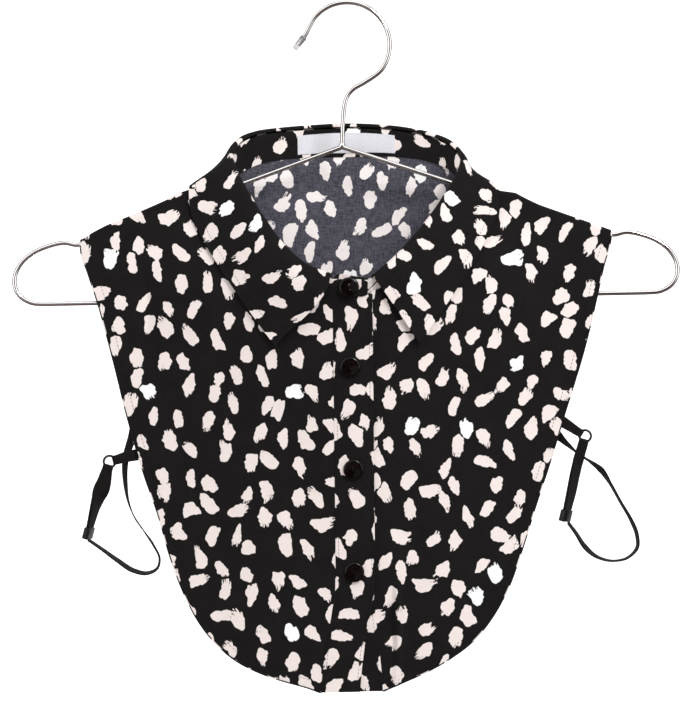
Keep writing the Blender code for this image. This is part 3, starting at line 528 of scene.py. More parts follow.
# %% Hang the lights
LIGHTS = (
    # name, place, size, power
    ("key", (1.25, -2.3, 1.3), 1.0, 47.0),
    ("fill", (-0.8, -2.5, -0.2), 1.8, 3.0),
    ("overhead", (0.2, 0.5, 2.2), 1.6, 8.0),
    ("rim", (-1.2, 2.0, 1.2), 1.4, 8.0),
)
AIM = Vector((0, 0, -0.2))
for name, place, size, power in LIGHTS:
    lamp = bpy.data.lights.new(name, "AREA")
    lamp.shape = "DISK"
    lamp.size = size
    lamp.energy = power
    made = bpy.data.objects.new(name, lamp)
    made.location = place
    made.rotation_euler = (AIM - Vector(place)).to_track_quat("-Z", "Y").to_euler()
    bpy.context.scene.collection.objects.link(made)
print("Lights:", [row[0] for row in LIGHTS])

# %% [markdown]
# Chrome shows little of itself and much of the room, so the room is worked out with care. Gloss and the
# clear cap don't see the bowl but the world behind it, whose light depends on the direction alone: a bright
# ring round a dark middle in front, which gives each wire a bright line with a grey core, less light from
# below, and a pale room behind.

# %% Light the room
world = bpy.data.worlds.new("soft_room")
world.use_nodes = True
tree = world.node_tree
direction = node(tree, "TexCoord", out="Generated")
away, above = node(tree, "SeparateXYZ", {0: direction}, (1, 2))
ring = remap(away, -0.14, -0.34, 0.02, 1.8, smooth=True)
dark_middle = remap(away, -0.83, -0.90, 1.0, 0.01, smooth=True)
less_below = remap(above, -0.40, -0.15, 0.12, 1.0, smooth=True)
glow = ring * dark_middle * less_below + remap(away, 0.44, 0.60, 0.0, 0.75, smooth=True)
warm = blend(remap(glow, 0.25, 0.6, 0.0, 1.0, smooth=True), (1.0, 0.76, 0.70, 1), (1, 1, 1, 1))
feed(tree.nodes["Background"], {"Color": warm, "Strength": glow})
bpy.context.scene.world = world
bpy.context.scene.view_settings.view_transform = "Standard"
print("Room lit from", len(tree.nodes), "nodes")

# %% [markdown]
# ## The lines of the garment
#
# These tables hold the measured lines that the CAD parts were made from: where the shoulders lie on the
# wire, the outer edge, the placket's seams, the neckline, the top of the collar and the edge of its leaf.
# They are in millimetres, and the origin is on the inside of the hook, where a rail carries it.

# %% Repeat the measured lines
WIRE = 2.8
OVER_WIRE = 2.35
ROLL_RADIUS = 1.9
GAP = 0.3
LEAF_CLEAR = 2.1
STEEPEST = 1.5
PLACKET_LIFT = 1.5
UNDER_LIFT = -0.1
PLACKET_WIDTH = 23.4
BACK_INSET = 3.0
BACK_SHORTER = 7.0
APEX_X = -0.9
APEX_Z = -85.4
ARM_SLOPE = 0.3475
ARM_END_X = 180.0
BAR_Z = -176.6
HOOK_RADIUS = 25.6
HOOK_CENTRE_X = 3.4
HOOK_CENTRE_Z = -math.sqrt((HOOK_RADIUS - WIRE / 2) ** 2 - HOOK_CENTRE_X**2)
HEM_CORNER = 11
HEM_Z = -412.3
NECK_FRONT_Z = -176.7
SHOULDER_ROW = 5
# x_right, z_right, x_left, z_left
SHOULDER = (
    (-69, -106.3, 69, -106.3), (-84, -108.4, 84, -111), (-94, -109.6, 94, -113.8),
    (-102, -112.2, 103, -115.2), (-108, -115.8, 109, -118.6), (-125, -122.9, 117, -122.6),
    (-144, -130.2, 133, -128.6), (-152, -134.2, 146, -133.4), (-157.5, -137.7, 153.5, -136.2),
    (-159.6, -138.4, 160.2, -138.7),
)
# x_right, x_left, z
BODY_EDGE = (
    (-159, 159.3, -146), (-154.6, 155, -160), (-149.2, 150.7, -177), (-141, 142.2, -209),
    (-131.5, 128.8, -250), (-123.2, 119, -280), (-115.4, 110.6, -304), (-108.1, 101.6, -331),
    (-100.6, 93.6, -352), (-91.5, 83.2, -370), (-81.3, 72.2, -383), (-69.5, 58.8, -393),
    (-55.8, 46.4, -400), (-41.5, 35, -405.2), (-28.5, 25, -409),
)
# z, top_seam, under_seam
PLACKET_SEAMS = (
    (-177.2, -8.3, 15.3), (-236, -8.7, 14.6), (-300, -9.2, 13.8), (-336, -9.5, 13.2), (-352, -10.2, 13),
    (-367, -12.8, 13.8), (-383, -16.2, 15.4), (-398, -18.4, 16.6),
    (HEM_Z, -19.8, 17.4),
)
# x, z
NECK_SEAM = (
    (0, -88.8), (20, -88.8), (38, -90.2), (53, -93.6), (63.5, -99.4), (69, -106.3), (66.6, -118.5),
    (60.2, -132.5), (51, -147), (38.5, -160), (23, -170.2), (8.6, -175.4),
)
# x_right, x_left, y, z_right, z_left
FOLD_LINE = (
    (0, 0, 27.5, -68.2, -68.2), (-19.5, 19.5, 27, -68.8, -69), (-38, 38, 24, -70.2, -71.4),
    (-52.5, 53, 19, -72.6, -75.4), (-62, 65.5, 12, -77.4, -82), (-66.4, 71.4, 2.5, -87.2, -92.2),
    (-62, 66.6, -6, -101.6, -103.6), (-54.6, 58.6, -13.5, -115.6, -116.4), (-46.2, 49, -21, -130, -130),
    (-35.6, 37.4, -28.2, -144.8, -143.6), (-22.6, 26.2, -34, -156.4, -154.6),
    (-8.4, 15.6, -37.4, -162.4, -163.2),
)
# x, z_right, z_left
LEAF_EDGE = (
    (0, -113, -113), (26, -113.2, -113.4), (50, -113.6, -114.4), (71, -113.8, -116), (86, -111.8, -116.2),
    (92, -107.6, -111.6), (93, -119, -121), (86.6, -137, -138), (76.8, -154.4, -155.4),
    (66.8, -170, -170.6), (55.4, -186.6, -187), (42.6, -204.8, -204.8),
)
print("The hem hangs", -HEM_Z, "mm below the rail")

# %% [markdown]
# ## Folds and creases
#
# A hanging front is never a plain curve. The large folds below are those of the CAD form. The small creases
# are only in the cloth: each is a soft line with its own length, width and height, so that no two of them
# match.

# %% List the folds and creases
# x_top, z_top, x_bottom, z_bottom, half_width, height
FOLDS = {
    "front": (
        (24.5, -300, 22.5, -404, 7, 1.5), (34, -290, 36, -400, 8, -1.1),
        (-122, -150, -119, -204, 8, -1.3), (118, -150, 121, -196, 8, -1.1),
        (-62, -230, -50, -396, 17, 1.4), (66, -236, 62, -380, 15, 1.2),
    ),
    "back": (
        (-44, -150, -60, -392, 18, 2.2), (38, -160, 52, -396, 17, 2), (2, -200, -2, -404, 14, -1.6),
    ),
}
# x0, z0, x1, z1, half_width, height
CREASES = {
    "front": (
        (27.6, -330, 23, -416, 2.3, 3.4), (25, -345, 25, -399, 2.2, -2.4),
        (31.5, -296, 33, -352, 3, -0.45), (-27, -204, -21, -262, 4.5, 0.35),
        (-35, -236, -26, -322, 6.5, -0.5), (-46, -262, -40, -336, 5, 0.45),
        (-74, -208, -58, -296, 7, -0.6), (-92, -176, -84, -238, 5.5, 0.5),
        (-104, -214, -90, -288, 6, 0.45), (-121.5, -154, -118.5, -196, 2.4, -1.6),
        (-128, -158, -126, -200, 3.6, 0.4), (-136, -176, -122, -250, 4.2, -0.4),
        (-84, -318, -66, -376, 5.5, 0.4), (-58, -338, -52, -398, 4.5, -0.4), (44, -214, 40, -276, 5, 0.4),
        (54, -252, 48, -338, 6.5, -0.5), (73, -198, 66, -262, 6, 0.5), (96, -172, 88, -246, 7, -0.5),
        (109, -150, 104, -206, 4.4, 0.45), (128, -152, 128, -214, 4.2, -0.4),
        (83, -292, 72, -350, 6, 0.45), (60, -352, 55, -396, 4.2, -0.35),
        (-148, -177.4, -72, -177, 1.1, 0.5), (66, -176.8, 150, -177.6, 1.1, 0.55),
        (-150, -143, -120, -149, 2.6, 0.3), (-140, -135, -116, -141, 2.2, -0.28),
        (118, -128, 150, -150, 3, 0.32), (104, -124, 126, -146, 2.6, -0.3),
    ),
    "back": (
        (-70, -128, -96, -236, 6, 0.7), (-58, -172, -74, -318, 5, -0.6), (-28, -138, -34, -262, 7, 0.6),
        (-12, -240, -18, -372, 5.5, -0.5), (14, -132, 20, -232, 6, -0.6), (24, -236, 32, -392, 5, 0.6),
        (56, -146, 74, -286, 6.5, -0.7), (92, -140, 104, -226, 5, 0.6), (84, -262, 80, -346, 4.5, 0.5),
        (-104, -158, -112, -262, 5, -0.5), (-140, -177, -30, -176, 1.6, 0.25),
        (36, -176.6, 146, -177.4, 1.5, 0.28), (-120, -134, -146, -152, 2.6, 0.35),
        (112, -130, 148, -156, 2.8, 0.35),
    ),
}


def fold_height(face, x, z):
    """The large folds of a face: each fades in below its top and out below its end."""
    total = np.zeros_like(x)
    for x_top, z_top, x_bottom, z_bottom, half_width, height in FOLDS[face]:
        down = (z_top - z) / (z_top - z_bottom)
        middle = x_top + (x_bottom - x_top) * np.clip(down, 0, 1)
        fade = smoothstep(down / 0.35) * smoothstep((1.25 - down) / 0.35)
        total += height * bell(x - middle, half_width) * fade
    return total


def crease_height(face, x, z):
    """The small creases, each bowed a little to one side."""
    total = np.zeros_like(x)
    for x0, z0, x1, z1, half_width, height in CREASES[face]:
        run = math.hypot(x1 - x0, z1 - z0)
        far_x, far_z = (x1 - x0) / run, (z1 - z0) / run
        share = ((x - x0) * far_x + (z - z0) * far_z) / run
        aside = (x - x0) * far_z - (z - z0) * far_x - 0.03 * run * np.sin(math.pi * share + x0)
        fade = smoothstep((share + 0.08) / 0.42) * smoothstep((1.08 - share) / 0.42)
        total += height * bell(aside, half_width * (0.8 + 0.4 * np.clip(share, 0, 1))) * fade
    return total


print("Folds and creases:", sum(len(rows) for rows in (*FOLDS.values(), *CREASES.values())))

# %% [markdown]
# ## The form of the body
#
# Each face of the body is a height over the hanger's plane: the cloth turns over the wire at the shoulders,
# stands off in the middle by the depth of the neck, and lies back towards the sides and the hem.

# %% Work out how far each face stands off the hanger
FRONT_DEPTH, FRONT_LEVEL, FRONT_SLOPE, FRONT_LEAST = 33.6, -176.0, 0.112, 6.5
FRONT_SPREAD, FRONT_RISE = 105.0, 42.0
BACK_DEPTH, BACK_LEVEL, BACK_SLOPE, BACK_LEAST = 24.0, -90.0, 0.095, 5.0
BACK_SPREAD, BACK_WIDENS, BACK_RISE = 75.0, 35.0, 6.0


def shoulder_top(x):
    """Height of the shoulder line, which goes on up at the arms' slope inside the neck."""
    rows = np.array(SHOULDER)
    right = np.interp(-x, -rows[:, 0], rows[:, 1])
    left = np.interp(x, rows[:, 2], rows[:, 3])
    inside = np.maximum(SHOULDER[0][2] - np.abs(x), 0)
    return np.where(x < 0, right, left) + ARM_SLOPE * inside


def over_wire(below):
    """The quarter round that the cloth makes as it turns over the wire."""
    left_to_go = np.clip(OVER_WIRE - below, 0, OVER_WIRE)
    return np.sqrt(OVER_WIRE**2 - left_to_go**2)


def front_y(x, z):
    """The front's form, with its large folds."""
    x, z = np.asarray(x, float), np.asarray(z, float)
    below = np.maximum(shoulder_top(x) - z, 0)
    ridge = np.maximum(FRONT_DEPTH + FRONT_SLOPE * (z - FRONT_LEVEL), FRONT_LEAST)
    rise = 1 - bell(below, FRONT_RISE)
    return -(over_wire(below) + ridge * bell(x, FRONT_SPREAD) * rise + fold_height("front", x, z))


def back_y(x, z):
    """The back's form, with its large folds."""
    x, z = np.asarray(x, float), np.asarray(z, float)
    below = np.maximum(np.maximum(shoulder_top(x) - z, SHOULDER[0][2] - np.abs(x)), 0)
    depth = np.maximum(BACK_DEPTH + BACK_SLOPE * (z - BACK_LEVEL), BACK_LEAST)
    spread = bell(x, BACK_SPREAD + BACK_WIDENS * smoothstep((-110.0 - z) / 140.0))
    return over_wire(below) + depth * spread * (1 - bell(below, BACK_RISE)) + fold_height("back", x, z)


def ripple(s):
    """An uneven wave along a seam, from -1 to 1 or so."""
    return 0.45 * np.sin(s / 3.1 + 0.4) + 0.35 * np.sin(s / 1.9 + 2.0) + 0.4 * np.sin(s / 6.1 + 1.1)


print("The front stands", round(-float(front_y(0, -200)), 1), "mm off the hanger at the second button")

# %% Draw the seams that several pieces share


def neck_seam_front(side):
    """(x, z) of the neckline on one side, from the placket up to the shoulder."""
    rows = [(side * x, z) for x, z in NECK_SEAM[SHOULDER_ROW:]]
    return through([(0.0, NECK_FRONT_Z)] + rows[::-1])


def neck_seam_ring():
    """(x, y, z) of the whole neckline, from the left front end, round the back, to the right front end."""
    right = [(-x, z) for x, z in NECK_SEAM]
    x, z = through(list(NECK_SEAM[::-1]) + right[1:]).T
    behind = z > NECK_SEAM[SHOULDER_ROW][1]
    return np.stack([x, np.where(behind, back_y(x, z), front_y(x, z)), z], axis=-1)


def fold_ring():
    left = [(x_left, y, z_left) for _, x_left, y, _, z_left in FOLD_LINE]
    right = [(x_right, y, z_right) for x_right, _, y, z_right, _ in FOLD_LINE]
    return through(left[::-1] + right[1:])


def clear_of(face_y, x, z):
    """How far from a panel, along Y, the fall lies so that it clears it square to the cloth."""
    across = face_y(x + 0.5, z) - face_y(x - 0.5, z)
    upward = face_y(x, z + 0.5) - face_y(x, z - 0.5)
    return LEAF_CLEAR * np.sqrt(1 + np.minimum(np.hypot(across, upward), STEEPEST) ** 2)


def keep_off_body(points):
    """Moves points of the fall out to where they clear the panels and the shoulder under them."""
    x, y, z = points[..., 0], points[..., 1], points[..., 2]
    above_bend = z - (shoulder_top(x) - OVER_WIRE)
    reach = np.maximum((OVER_WIRE + LEAF_CLEAR) / np.maximum(np.hypot(y, above_bend), 0.01), 1)
    over = (above_bend > 0) & (np.abs(x) > NECK_SEAM[SHOULDER_ROW][0])
    y = np.where(over, y * reach, y)
    z = np.where(over, z + above_bend * (reach - 1), z)
    ahead = (above_bend <= 0) & (y < 0)
    behind = (above_bend <= 0) & (y >= 0)
    y = np.where(ahead, np.minimum(y, front_y(x, z) - clear_of(front_y, x, z)), y)
    y = np.where(behind, np.maximum(y, back_y(x, z) + clear_of(back_y, x, z)), y)
    return np.stack([x, y, z], axis=-1)


def leaf_ring():
    """(x, y, z) of the fall's outer edge, just clear of the body that it lies on."""
    left = [(x, z_left) for x, _, z_left in LEAF_EDGE]
    right = [(-x, z_right) for x, z_right, _ in LEAF_EDGE]
    flat = through(left[::-1] + right[1:])
    x, z = flat[:, 0], flat[:, 1]
    rows_from_back = np.abs(np.linspace(-1, 1, len(flat))) * (len(LEAF_EDGE) - 1)
    past_shoulder = np.clip((rows_from_back - SHOULDER_ROW) / 0.7, -1, 1)
    ahead = (front_y(x, z) - clear_of(front_y, x, z)) * past_shoulder
    behind = (back_y(x, z) + clear_of(back_y, x, z)) * -past_shoulder
    return keep_off_body(np.stack([x, np.where(past_shoulder > 0, ahead, behind), z], axis=-1))


def placket_line(column):
    """(x, z) of a seam of the placket: column 1 is the top layer's, column 2 the under layer's."""
    return np.array([(row[column], row[0]) for row in PLACKET_SEAMS])


def seam_at(line, z):
    """Where a placket's seam is, from side to side, at this height."""
    return np.interp(-z, -line[:, 1], line[:, 0])


def shoulder_line(side):
    rows = np.array(SHOULDER)
    return rows[:, :2] if side < 0 else rows[:, 2:]


def body_edge(side, inset=0.0):
    """(x, z) from the shoulder tip down the side and round the hem."""
    rows = [((row[0] if side < 0 else row[1]) - side * inset, row[2]) for row in BODY_EDGE]
    tip = shoulder_line(side)[-1] - (side * inset, 0)
    return [tuple(tip)] + rows


def front_outline(side, past_seam=0.0):
    """The smooth edge of one front, from its shoulder tip to its placket seam, and past it by this much."""
    line = placket_line(1 if side < 0 else 2)
    return through(body_edge(side) + [(line[-1, 0] - side * past_seam, HEM_Z)])


def back_edge(side):
    """The front's side edge and hem, drawn in at the side and raised towards the hem."""
    rows = body_edge(side, BACK_INSET)
    return [(x, z + BACK_SHORTER * float(smoothstep((-300.0 - z) / 90.0))) for x, z in rows]


print("The neckline is", round(float(measured(neck_seam_ring())[-1])), "mm round")

# %% [markdown]
# ## Sheets of cloth
#
# A sheet starts as bmesh's flat grid, and its points are moved onto the form, row by row and column by
# column, as a pattern piece is laid on a stand. The UV map is given the same places in real metres,
# measured along the cloth. Solidify then gives the sheet its thickness, and the reverse takes the slate
# finish.

# %% Helpers for sheets of cloth
PRINTED = ((printed,), "printed_cloth")
LINED = ((printed, reverse), "printed_cloth")
KNIT = ((knitted,), "elastic_black")
SATIN = ((label_satin,), "label_cloth")
# points that a sheet turns its reverse to
FAR_BEHIND = (0, 300, -250)
FAR_AHEAD = (0, -300, -250)
NECK_MIDDLE = (0, 0, -110)
# where in the printed cloth each piece is cut, in metres, and how far it leans there, in degrees
PRINT_AT = {
    "front_right": (1.3, 0.4), "front_left": (2.9, 0.4), "back_panel": (4.7, 0.9),
    "placket_top": (6.1, 1.6), "placket_under": (7.7, 2.3),
    "collar_stand": (9.1, 3.2), "collar_fall": (11.3, 4.1), "hem": (13.7, 5.3),
}
PRINT_LEVEL = -250.0
FRONT_LEAN = 11
BACK_LEAN = 9


def sheet_mesh(name, points, flat, inside):
    """A grid moved onto points, given in millimetres as rows by columns, with its UV map in metres."""
    rows, columns = points.shape[:2]
    net = bmesh.new()
    weave = net.loops.layers.uv.new("cloth")
    bmesh.ops.create_grid(net, x_segments=columns - 1, y_segments=rows - 1, size=0.5)
    place = {}
    for corner in net.verts:
        row = round((0.5 - corner.co.y) * (rows - 1))
        place[corner.index] = (row, round((corner.co.x + 0.5) * (columns - 1)))
        corner.co = Vector(points[place[corner.index]]) * MM
    for face in net.faces:
        for loop in face.loops:
            loop[weave].uv = flat[place[loop.vert.index]]

    # the sheet's middle tells which side faces away from the inside
    centre = points[rows // 4 : 3 * rows // 4 + 1, columns // 4 : 3 * columns // 4 + 1]
    right = centre[:, 1:] - centre[:, :-1]
    down = centre[1:] - centre[:-1]
    facing = np.cross(down[:, :-1], right[:-1])
    if np.sum(facing * (centre[:-1, :-1] - np.array(inside))) < 0:
        bmesh.ops.reverse_faces(net, faces=net.faces)
    return mesh_from(name, net)


def sheet(name, points, flat, inside, look, thickness, rounded=0.0, nodes=()):
    """A finished piece of cloth with its thickness, in the place of these CAD nodes."""
    finishes, slot = look
    piece = show(name, sheet_mesh(name, points, flat, inside), finishes, slot, *nodes)
    print(name, "has", points.shape[0], "by", points.shape[1], "points")
    return wall(piece, thickness, rounded, len(finishes) - 1)


def flat_map(face_y, x, z, shift, lean):
    """UV in metres: each point's way along the cloth from the middle and one level, turned by the lean."""
    steps = (np.arange(24) + 0.5) / 24
    u, v = np.zeros_like(x), np.zeros_like(z)
    for step in steps:
        slope = face_y(step * x + 0.5, z) - face_y(step * x - 0.5, z)
        u += x / 24 * np.sqrt(1 + np.minimum(slope**2, 4))
        height = PRINT_LEVEL + step * (z - PRINT_LEVEL)
        slope = face_y(x, height + 0.5) - face_y(x, height - 0.5)
        v += (z - PRINT_LEVEL) / 24 * np.sqrt(1 + np.minimum(slope**2, 4))
    turn = math.radians(lean)
    u, v = u * math.cos(turn) - v * math.sin(turn), u * math.sin(turn) + v * math.cos(turn)
    return np.stack([u, v], axis=-1) * MM + np.array(shift)


def laid_on(surface, outward, x, z, off=0.0):
    """Points that lie this far off a face, measured square to it."""
    x, z = np.asarray(x, float), np.asarray(z, float)
    slope_x = surface(x + 0.4, z) - surface(x - 0.4, z)
    slope_z = surface(x, z + 0.4) - surface(x, z - 0.4)
    square = unit(np.stack([-slope_x / 0.8, np.ones_like(x), -slope_z / 0.8], axis=-1)) * outward
    return np.stack([x, surface(x, z), z], axis=-1) + square * np.asarray(off)[..., None]


def coons(top, bottom, inner, outer, across, rows, near_top, near_hem):
    """(x, z) grid between four edge lines, with closer rows at these distances from the seam and the hem."""
    tops, bottoms = along(top, across), along(bottom, across)
    lengths = np.linalg.norm(bottoms - tops, axis=1)
    start, end = near_top[-1] / lengths, 1 - near_hem[-1] / lengths
    downs = [distance / lengths for distance in near_top[:-1]]
    downs += [start + (end - start) * share for share in np.linspace(0, 1, rows)]
    downs += [1 - distance / lengths for distance in near_hem[-2::-1]]
    grid = []
    u = across[:, None]
    for down in downs:
        v = down[:, None]
        ruled_down = (1 - v) * tops + v * bottoms
        ruled_across = (1 - u) * along(inner, down) + u * along(outer, down)
        corners = (1 - u) * (1 - v) * tops[0] + u * (1 - v) * tops[-1]
        corners = corners + (1 - u) * v * bottoms[0] + u * v * bottoms[-1]
        grid.append(ruled_down + ruled_across - corners)
    return np.array(grid)


def closer_at_ends(length, near_start, near_end, between):
    """Fractions of a length: these distances from its start and its end, and even steps between."""
    start, end = np.array(near_start) / length, 1 - np.array(near_end)[::-1] / length
    return np.concatenate([start, np.linspace(start[-1], end[0], between + 2)[1:-1], end])


print("Sheet helpers ready")

# %% [markdown]
# ## The straps
#
# A dickey is held down by an elastic on each side, which runs from the front's edge to the back. It hangs
# slack here, in a wide open loop. An elastic is a flat band, so it turns as it bends, and the table gives
# its middle line with its width and its turn about its own length.

# %% Repeat the straps' routes
# x, y, z, width, turn in degrees
RING_AT = {"right": (-144.0, -6.0, -272.0), "left": (141.6, -6.0, -262.1)}
RING_RADIUS = 3.5
RING_WIRE = 1.5
TAB = {
    "right": (
        (-119, -6.2, -266.6, 7, 0), (-127.3, -5.4, -268.2, 7, 0), (-133.9, -5.5, -269.3, 6.8, 0),
        (-139.2, -5.9, -270.8, 6.2, 0), (-142.1, -6, -271.5, 5.4, 0),
    ),
    "left": (
        (118, -6.9, -246.4, 7, 0), (127.2, -5.7, -252.6, 7, 0), (132.6, -5.6, -256.2, 6.6, 0),
        (137.4, -5.9, -259.5, 5.6, 0), (139.9, -6, -261, 4.8, 0),
    ),
}
STRAP = {
    "right": (
        (-144.6, -6, -273.8, 5.6, 0), (-146, -5.9, -278.4, 7.6, 8), (-147.6, -5.6, -284.2, 9.6, 8),
        (-150.2, -5.2, -291, 9.8, 52), (-153.4, -4.8, -299.7, 9.2, 66), (-155.9, -4.4, -308.4, 8.4, 71),
        (-157.6, -4, -314.4, 7.6, 76),
    ),
    "left": (
        (141.1, -6, -264, 5.6, 0), (139.6, -5.9, -268.8, 6, 14), (137.3, -5.6, -276.4, 7.6, 43),
        (134.9, -5.2, -286, 8.6, 50), (132.8, -4.8, -295.6, 8.6, 51), (130.6, -4.4, -304.4, 8.2, 54),
        (129.3, -4, -309.4, 7.6, 58),
    ),
}
ELASTIC = {
    "right": (
        (-158.2, -3.6, -318.6, 6.6, 86), (-150.6, -2.4, -324.2, 6.6, 84), (-140.8, -0.9, -331.8, 6.6, 79),
        (-131.3, 0, -338.2, 6.6, 74), (-122.9, 0.4, -339.9, 6.6, 77), (-117, 0.6, -337, 6.6, 81),
        (-115.6, 0.8, -331.8, 6.6, 79), (-118.9, 1, -323.7, 6.6, 77), (-124.8, 1.2, -314.6, 6.6, 85),
        (-130.7, 1.4, -305.4, 6.6, 85), (-134.1, 1.6, -295.7, 6.6, 77), (-135.4, 1.8, -286, 6.6, 66),
        (-135.7, 2, -277.6, 6.6, 57), (-134.9, 2.2, -270, 7, 52), (-132, 2.8, -261, 7.6, 46),
        (-127.4, 3.3, -249, 7.6, 0),
    ),
    "left": (
        (130.4, -3.6, -313.8, 6.6, 76), (135.2, -2.6, -320.4, 6.6, 72), (140.4, -1.4, -328.6, 6.6, 65),
        (147.3, -0.6, -334.8, 6.6, 80), (157.1, -0.2, -337.8, 6.6, 89), (166.8, 0, -335.9, 6.6, 88),
        (172.4, 0.4, -329.9, 6.6, 82), (172.3, 0.8, -322.3, 6.6, 78), (169.1, 1.2, -313.6, 6.6, 82),
        (163.2, 1.6, -303, 6.6, 84), (156.8, 2, -291, 6.6, 82), (151.6, 2.4, -283, 6.6, 63),
        (145.6, 2.6, -278.1, 6.6, 84), (138.6, 2.8, -273.4, 6.6, 85), (131.4, 2.6, -267, 6.6, 60),
        (121.6, 3.2, -257.4, 6.6, 0),
    ),
}
print("The elastics have", [len(rows) for rows in ELASTIC.values()], "measured points")

# %% Weave the two elastics
ELASTIC_WALL = 0.8
WIDTH_OF_KNIT = 8.0


def band_frame(rows, count):
    """Middle line of a flat band, with the directions along it, across it and square to it, and its width."""
    path = through([row[:3] for row in rows])
    knots = np.linspace(0, 1, len(rows))
    stations = np.linspace(0, 1, count)
    centres = along(path, stations)
    ahead = unit(np.gradient(centres, axis=0))
    width = np.interp(stations, knots, [row[3] for row in rows])
    turn = np.radians(np.interp(stations, knots, [row[4] for row in rows]))
    beside = unit(np.cross(ahead, np.array([0.0, 1.0, 0.0])))
    facing = unit(np.cross(beside, ahead))
    across = np.cos(turn)[:, None] * beside + np.sin(turn)[:, None] * facing
    return centres, ahead, across, unit(np.cross(across, ahead)), width


def knitted_band(kind, side, route, across, width, half, thickness, rounded):
    """A knitted sheet along a route. Its columns lie at these shares of its width, and mirrored beyond it."""
    columns = np.array([*half, *[-share for share in half[::-1]]])
    lengths = measured(route)
    points = np.array([route + across * (width * share)[:, None] for share in columns])
    flat = np.stack(np.meshgrid(WIDTH_OF_KNIT * columns, lengths, indexing="ij"), axis=-1) * MM
    name = kind + "_band_" + side
    return sheet(name, points, flat, (0, 0, 0), KNIT, thickness, rounded, (kind + "_" + side,))


for side, rows in ELASTIC.items():
    centres, _, across, _, width = band_frame(rows, 170)
    half = (-0.5, -0.47, -0.38, -0.25, -0.1)
    elastic = knitted_band("elastic", side, centres, across, width, half, ELASTIC_WALL, 0.2)
    length = float(measured(centres)[-1])
    tuple(centres[0] * MM)
    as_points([tuple(point * MM) for point in centres[::6]] + [tuple(centres[-1] * MM)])
    print(elastic.name, "is", round(length), "mm long")

# %% [markdown]
# Each strap is a short doubled band: it goes down from the ring, and up again behind itself, and the slider
# holds both layers. The tab on the garment's edge is a narrow folded strip of the same knit that holds the
# ring in the same way. Both are one sheet that follows a hairpin round the ring's wire.

# %% Fold the straps and the tabs round the rings


def folded_band(kind, side, rows, wire_at, layer, count):
    """A band that goes from its last row round the ring's wire near its first row, and comes back behind."""
    centres, ahead, across, square, width = band_frame(rows, count)
    turn_radius = RING_WIRE / 2 + layer / 2 + 0.15
    closest = layer / 2 + 0.08
    apart = (closest + (turn_radius - closest) * bell(measured(centres), 4.0))[:, None]
    past_wire = np.sum((centres - wire_at) * ahead[0], axis=1) > 0
    hairpin = []
    for degrees in range(-75, 76, 25):
        turn = math.radians(degrees)
        hairpin.append(wire_at + turn_radius * (math.sin(turn) * square[0] - math.cos(turn) * ahead[0]))

    def there_and_back(values):
        values = values[past_wire]
        return np.concatenate([values[::-1], np.repeat(values[:1], len(hairpin), axis=0), values])

    there, back = (centres - square * apart)[past_wire], (centres + square * apart)[past_wire]
    route = np.concatenate([there[::-1], hairpin, back])
    half = (-0.5, -0.46, -0.3, -0.1)
    return knitted_band(kind, side, route, there_and_back(across), there_and_back(width), half, layer, 0.18)


for side in ("right", "left"):
    ring = np.array(RING_AT[side])
    bands = (("strap", STRAP[side], 1, 0.85, 34), ("tab", TAB[side][::-1], 2, 0.8, 22))
    for kind, rows, aim, layer, count in bands:
        towards_band = unit(np.array(rows[aim][:3]) - ring)
        folded_band(kind, side, rows, ring + towards_band * RING_RADIUS, layer, count)
print("Straps and tabs folded")

# %% [markdown]
# The ring is a circle of wire, turned from a small circle. The slider is a short sleeve of
# moulded plastic: a box with its two ends inset and bridged, so that the strap goes through it, and with
# its edges rounded.

# %% Turn the rings and mould the sliders
SLIDER = (9.6, 3.6, 7.0)
SLIDER_WALL = 0.75
SLIDER_BELOW_FOOT = 0.4
RING_PROFILE = []
for k in range(14):
    turn = math.tau * (0.25 + k / 14)
    RING_PROFILE.append((RING_RADIUS + RING_WIRE / 2 * math.cos(turn), RING_WIRE / 2 * math.sin(turn)))


def solid(name, net, place, finish, slot, *nodes):
    """A finished piece from a closed bmesh, moved to its place."""
    bmesh.ops.transform(net, matrix=place, verts=net.verts)
    return show(name, mesh_from(name, net), (finish,), slot, *nodes)


for side in ("right", "left"):
    net = turned(RING_PROFILE, 44, closed=True)
    place = Matrix.Translation(Vector(RING_AT[side]) * MM) @ Matrix.Rotation(math.radians(90), 4, "X")
    solid("lacquered_ring_" + side, net, place, ring_lacquer, "ring_black", "ring_" + side)

    net = bmesh.new()
    bmesh.ops.create_cube(net, size=MM, matrix=Matrix.Diagonal((*SLIDER, 1)))
    ends = [face for face in net.faces if abs(face.normal.z) > 0.9]
    bmesh.ops.inset_individual(net, faces=ends, thickness=SLIDER_WALL * MM, use_even_offset=True)
    rims = [edge for face in ends for edge in face.edges]
    bmesh.ops.delete(net, geom=ends, context="FACES_ONLY")
    bmesh.ops.bridge_loops(net, edges=rims)
    bmesh.ops.bevel(
        net,
        geom=[edge for edge in net.edges if edge.calc_face_angle(0) > 1.0],
        offset=0.42 * MM,
        offset_type="OFFSET",
        affect="EDGES",
        segments=3,
        profile=0.5,
        material=-1,
        clamp_overlap=True,
    )
    bmesh.ops.recalc_face_normals(net, faces=net.faces)
    foot, above = (Vector(STRAP[side][k][:3]) for k in (-1, -3))
    down = (foot - above).normalized()
    turn = math.radians(STRAP[side][-1][4])
    beside = down.cross(Vector((0, 1, 0))).normalized()
    across = math.cos(turn) * beside + math.sin(turn) * beside.cross(down).normalized()
    turned_to = Matrix((across, down.cross(across).normalized(), down)).transposed().to_4x4()
    place = Matrix.Translation((foot + down * SLIDER_BELOW_FOOT) * MM) @ turned_to
    solid("moulded_slider_" + side, net, place, slider_plastic, "slider_black", "slider_" + side)
print("Rings and sliders made")

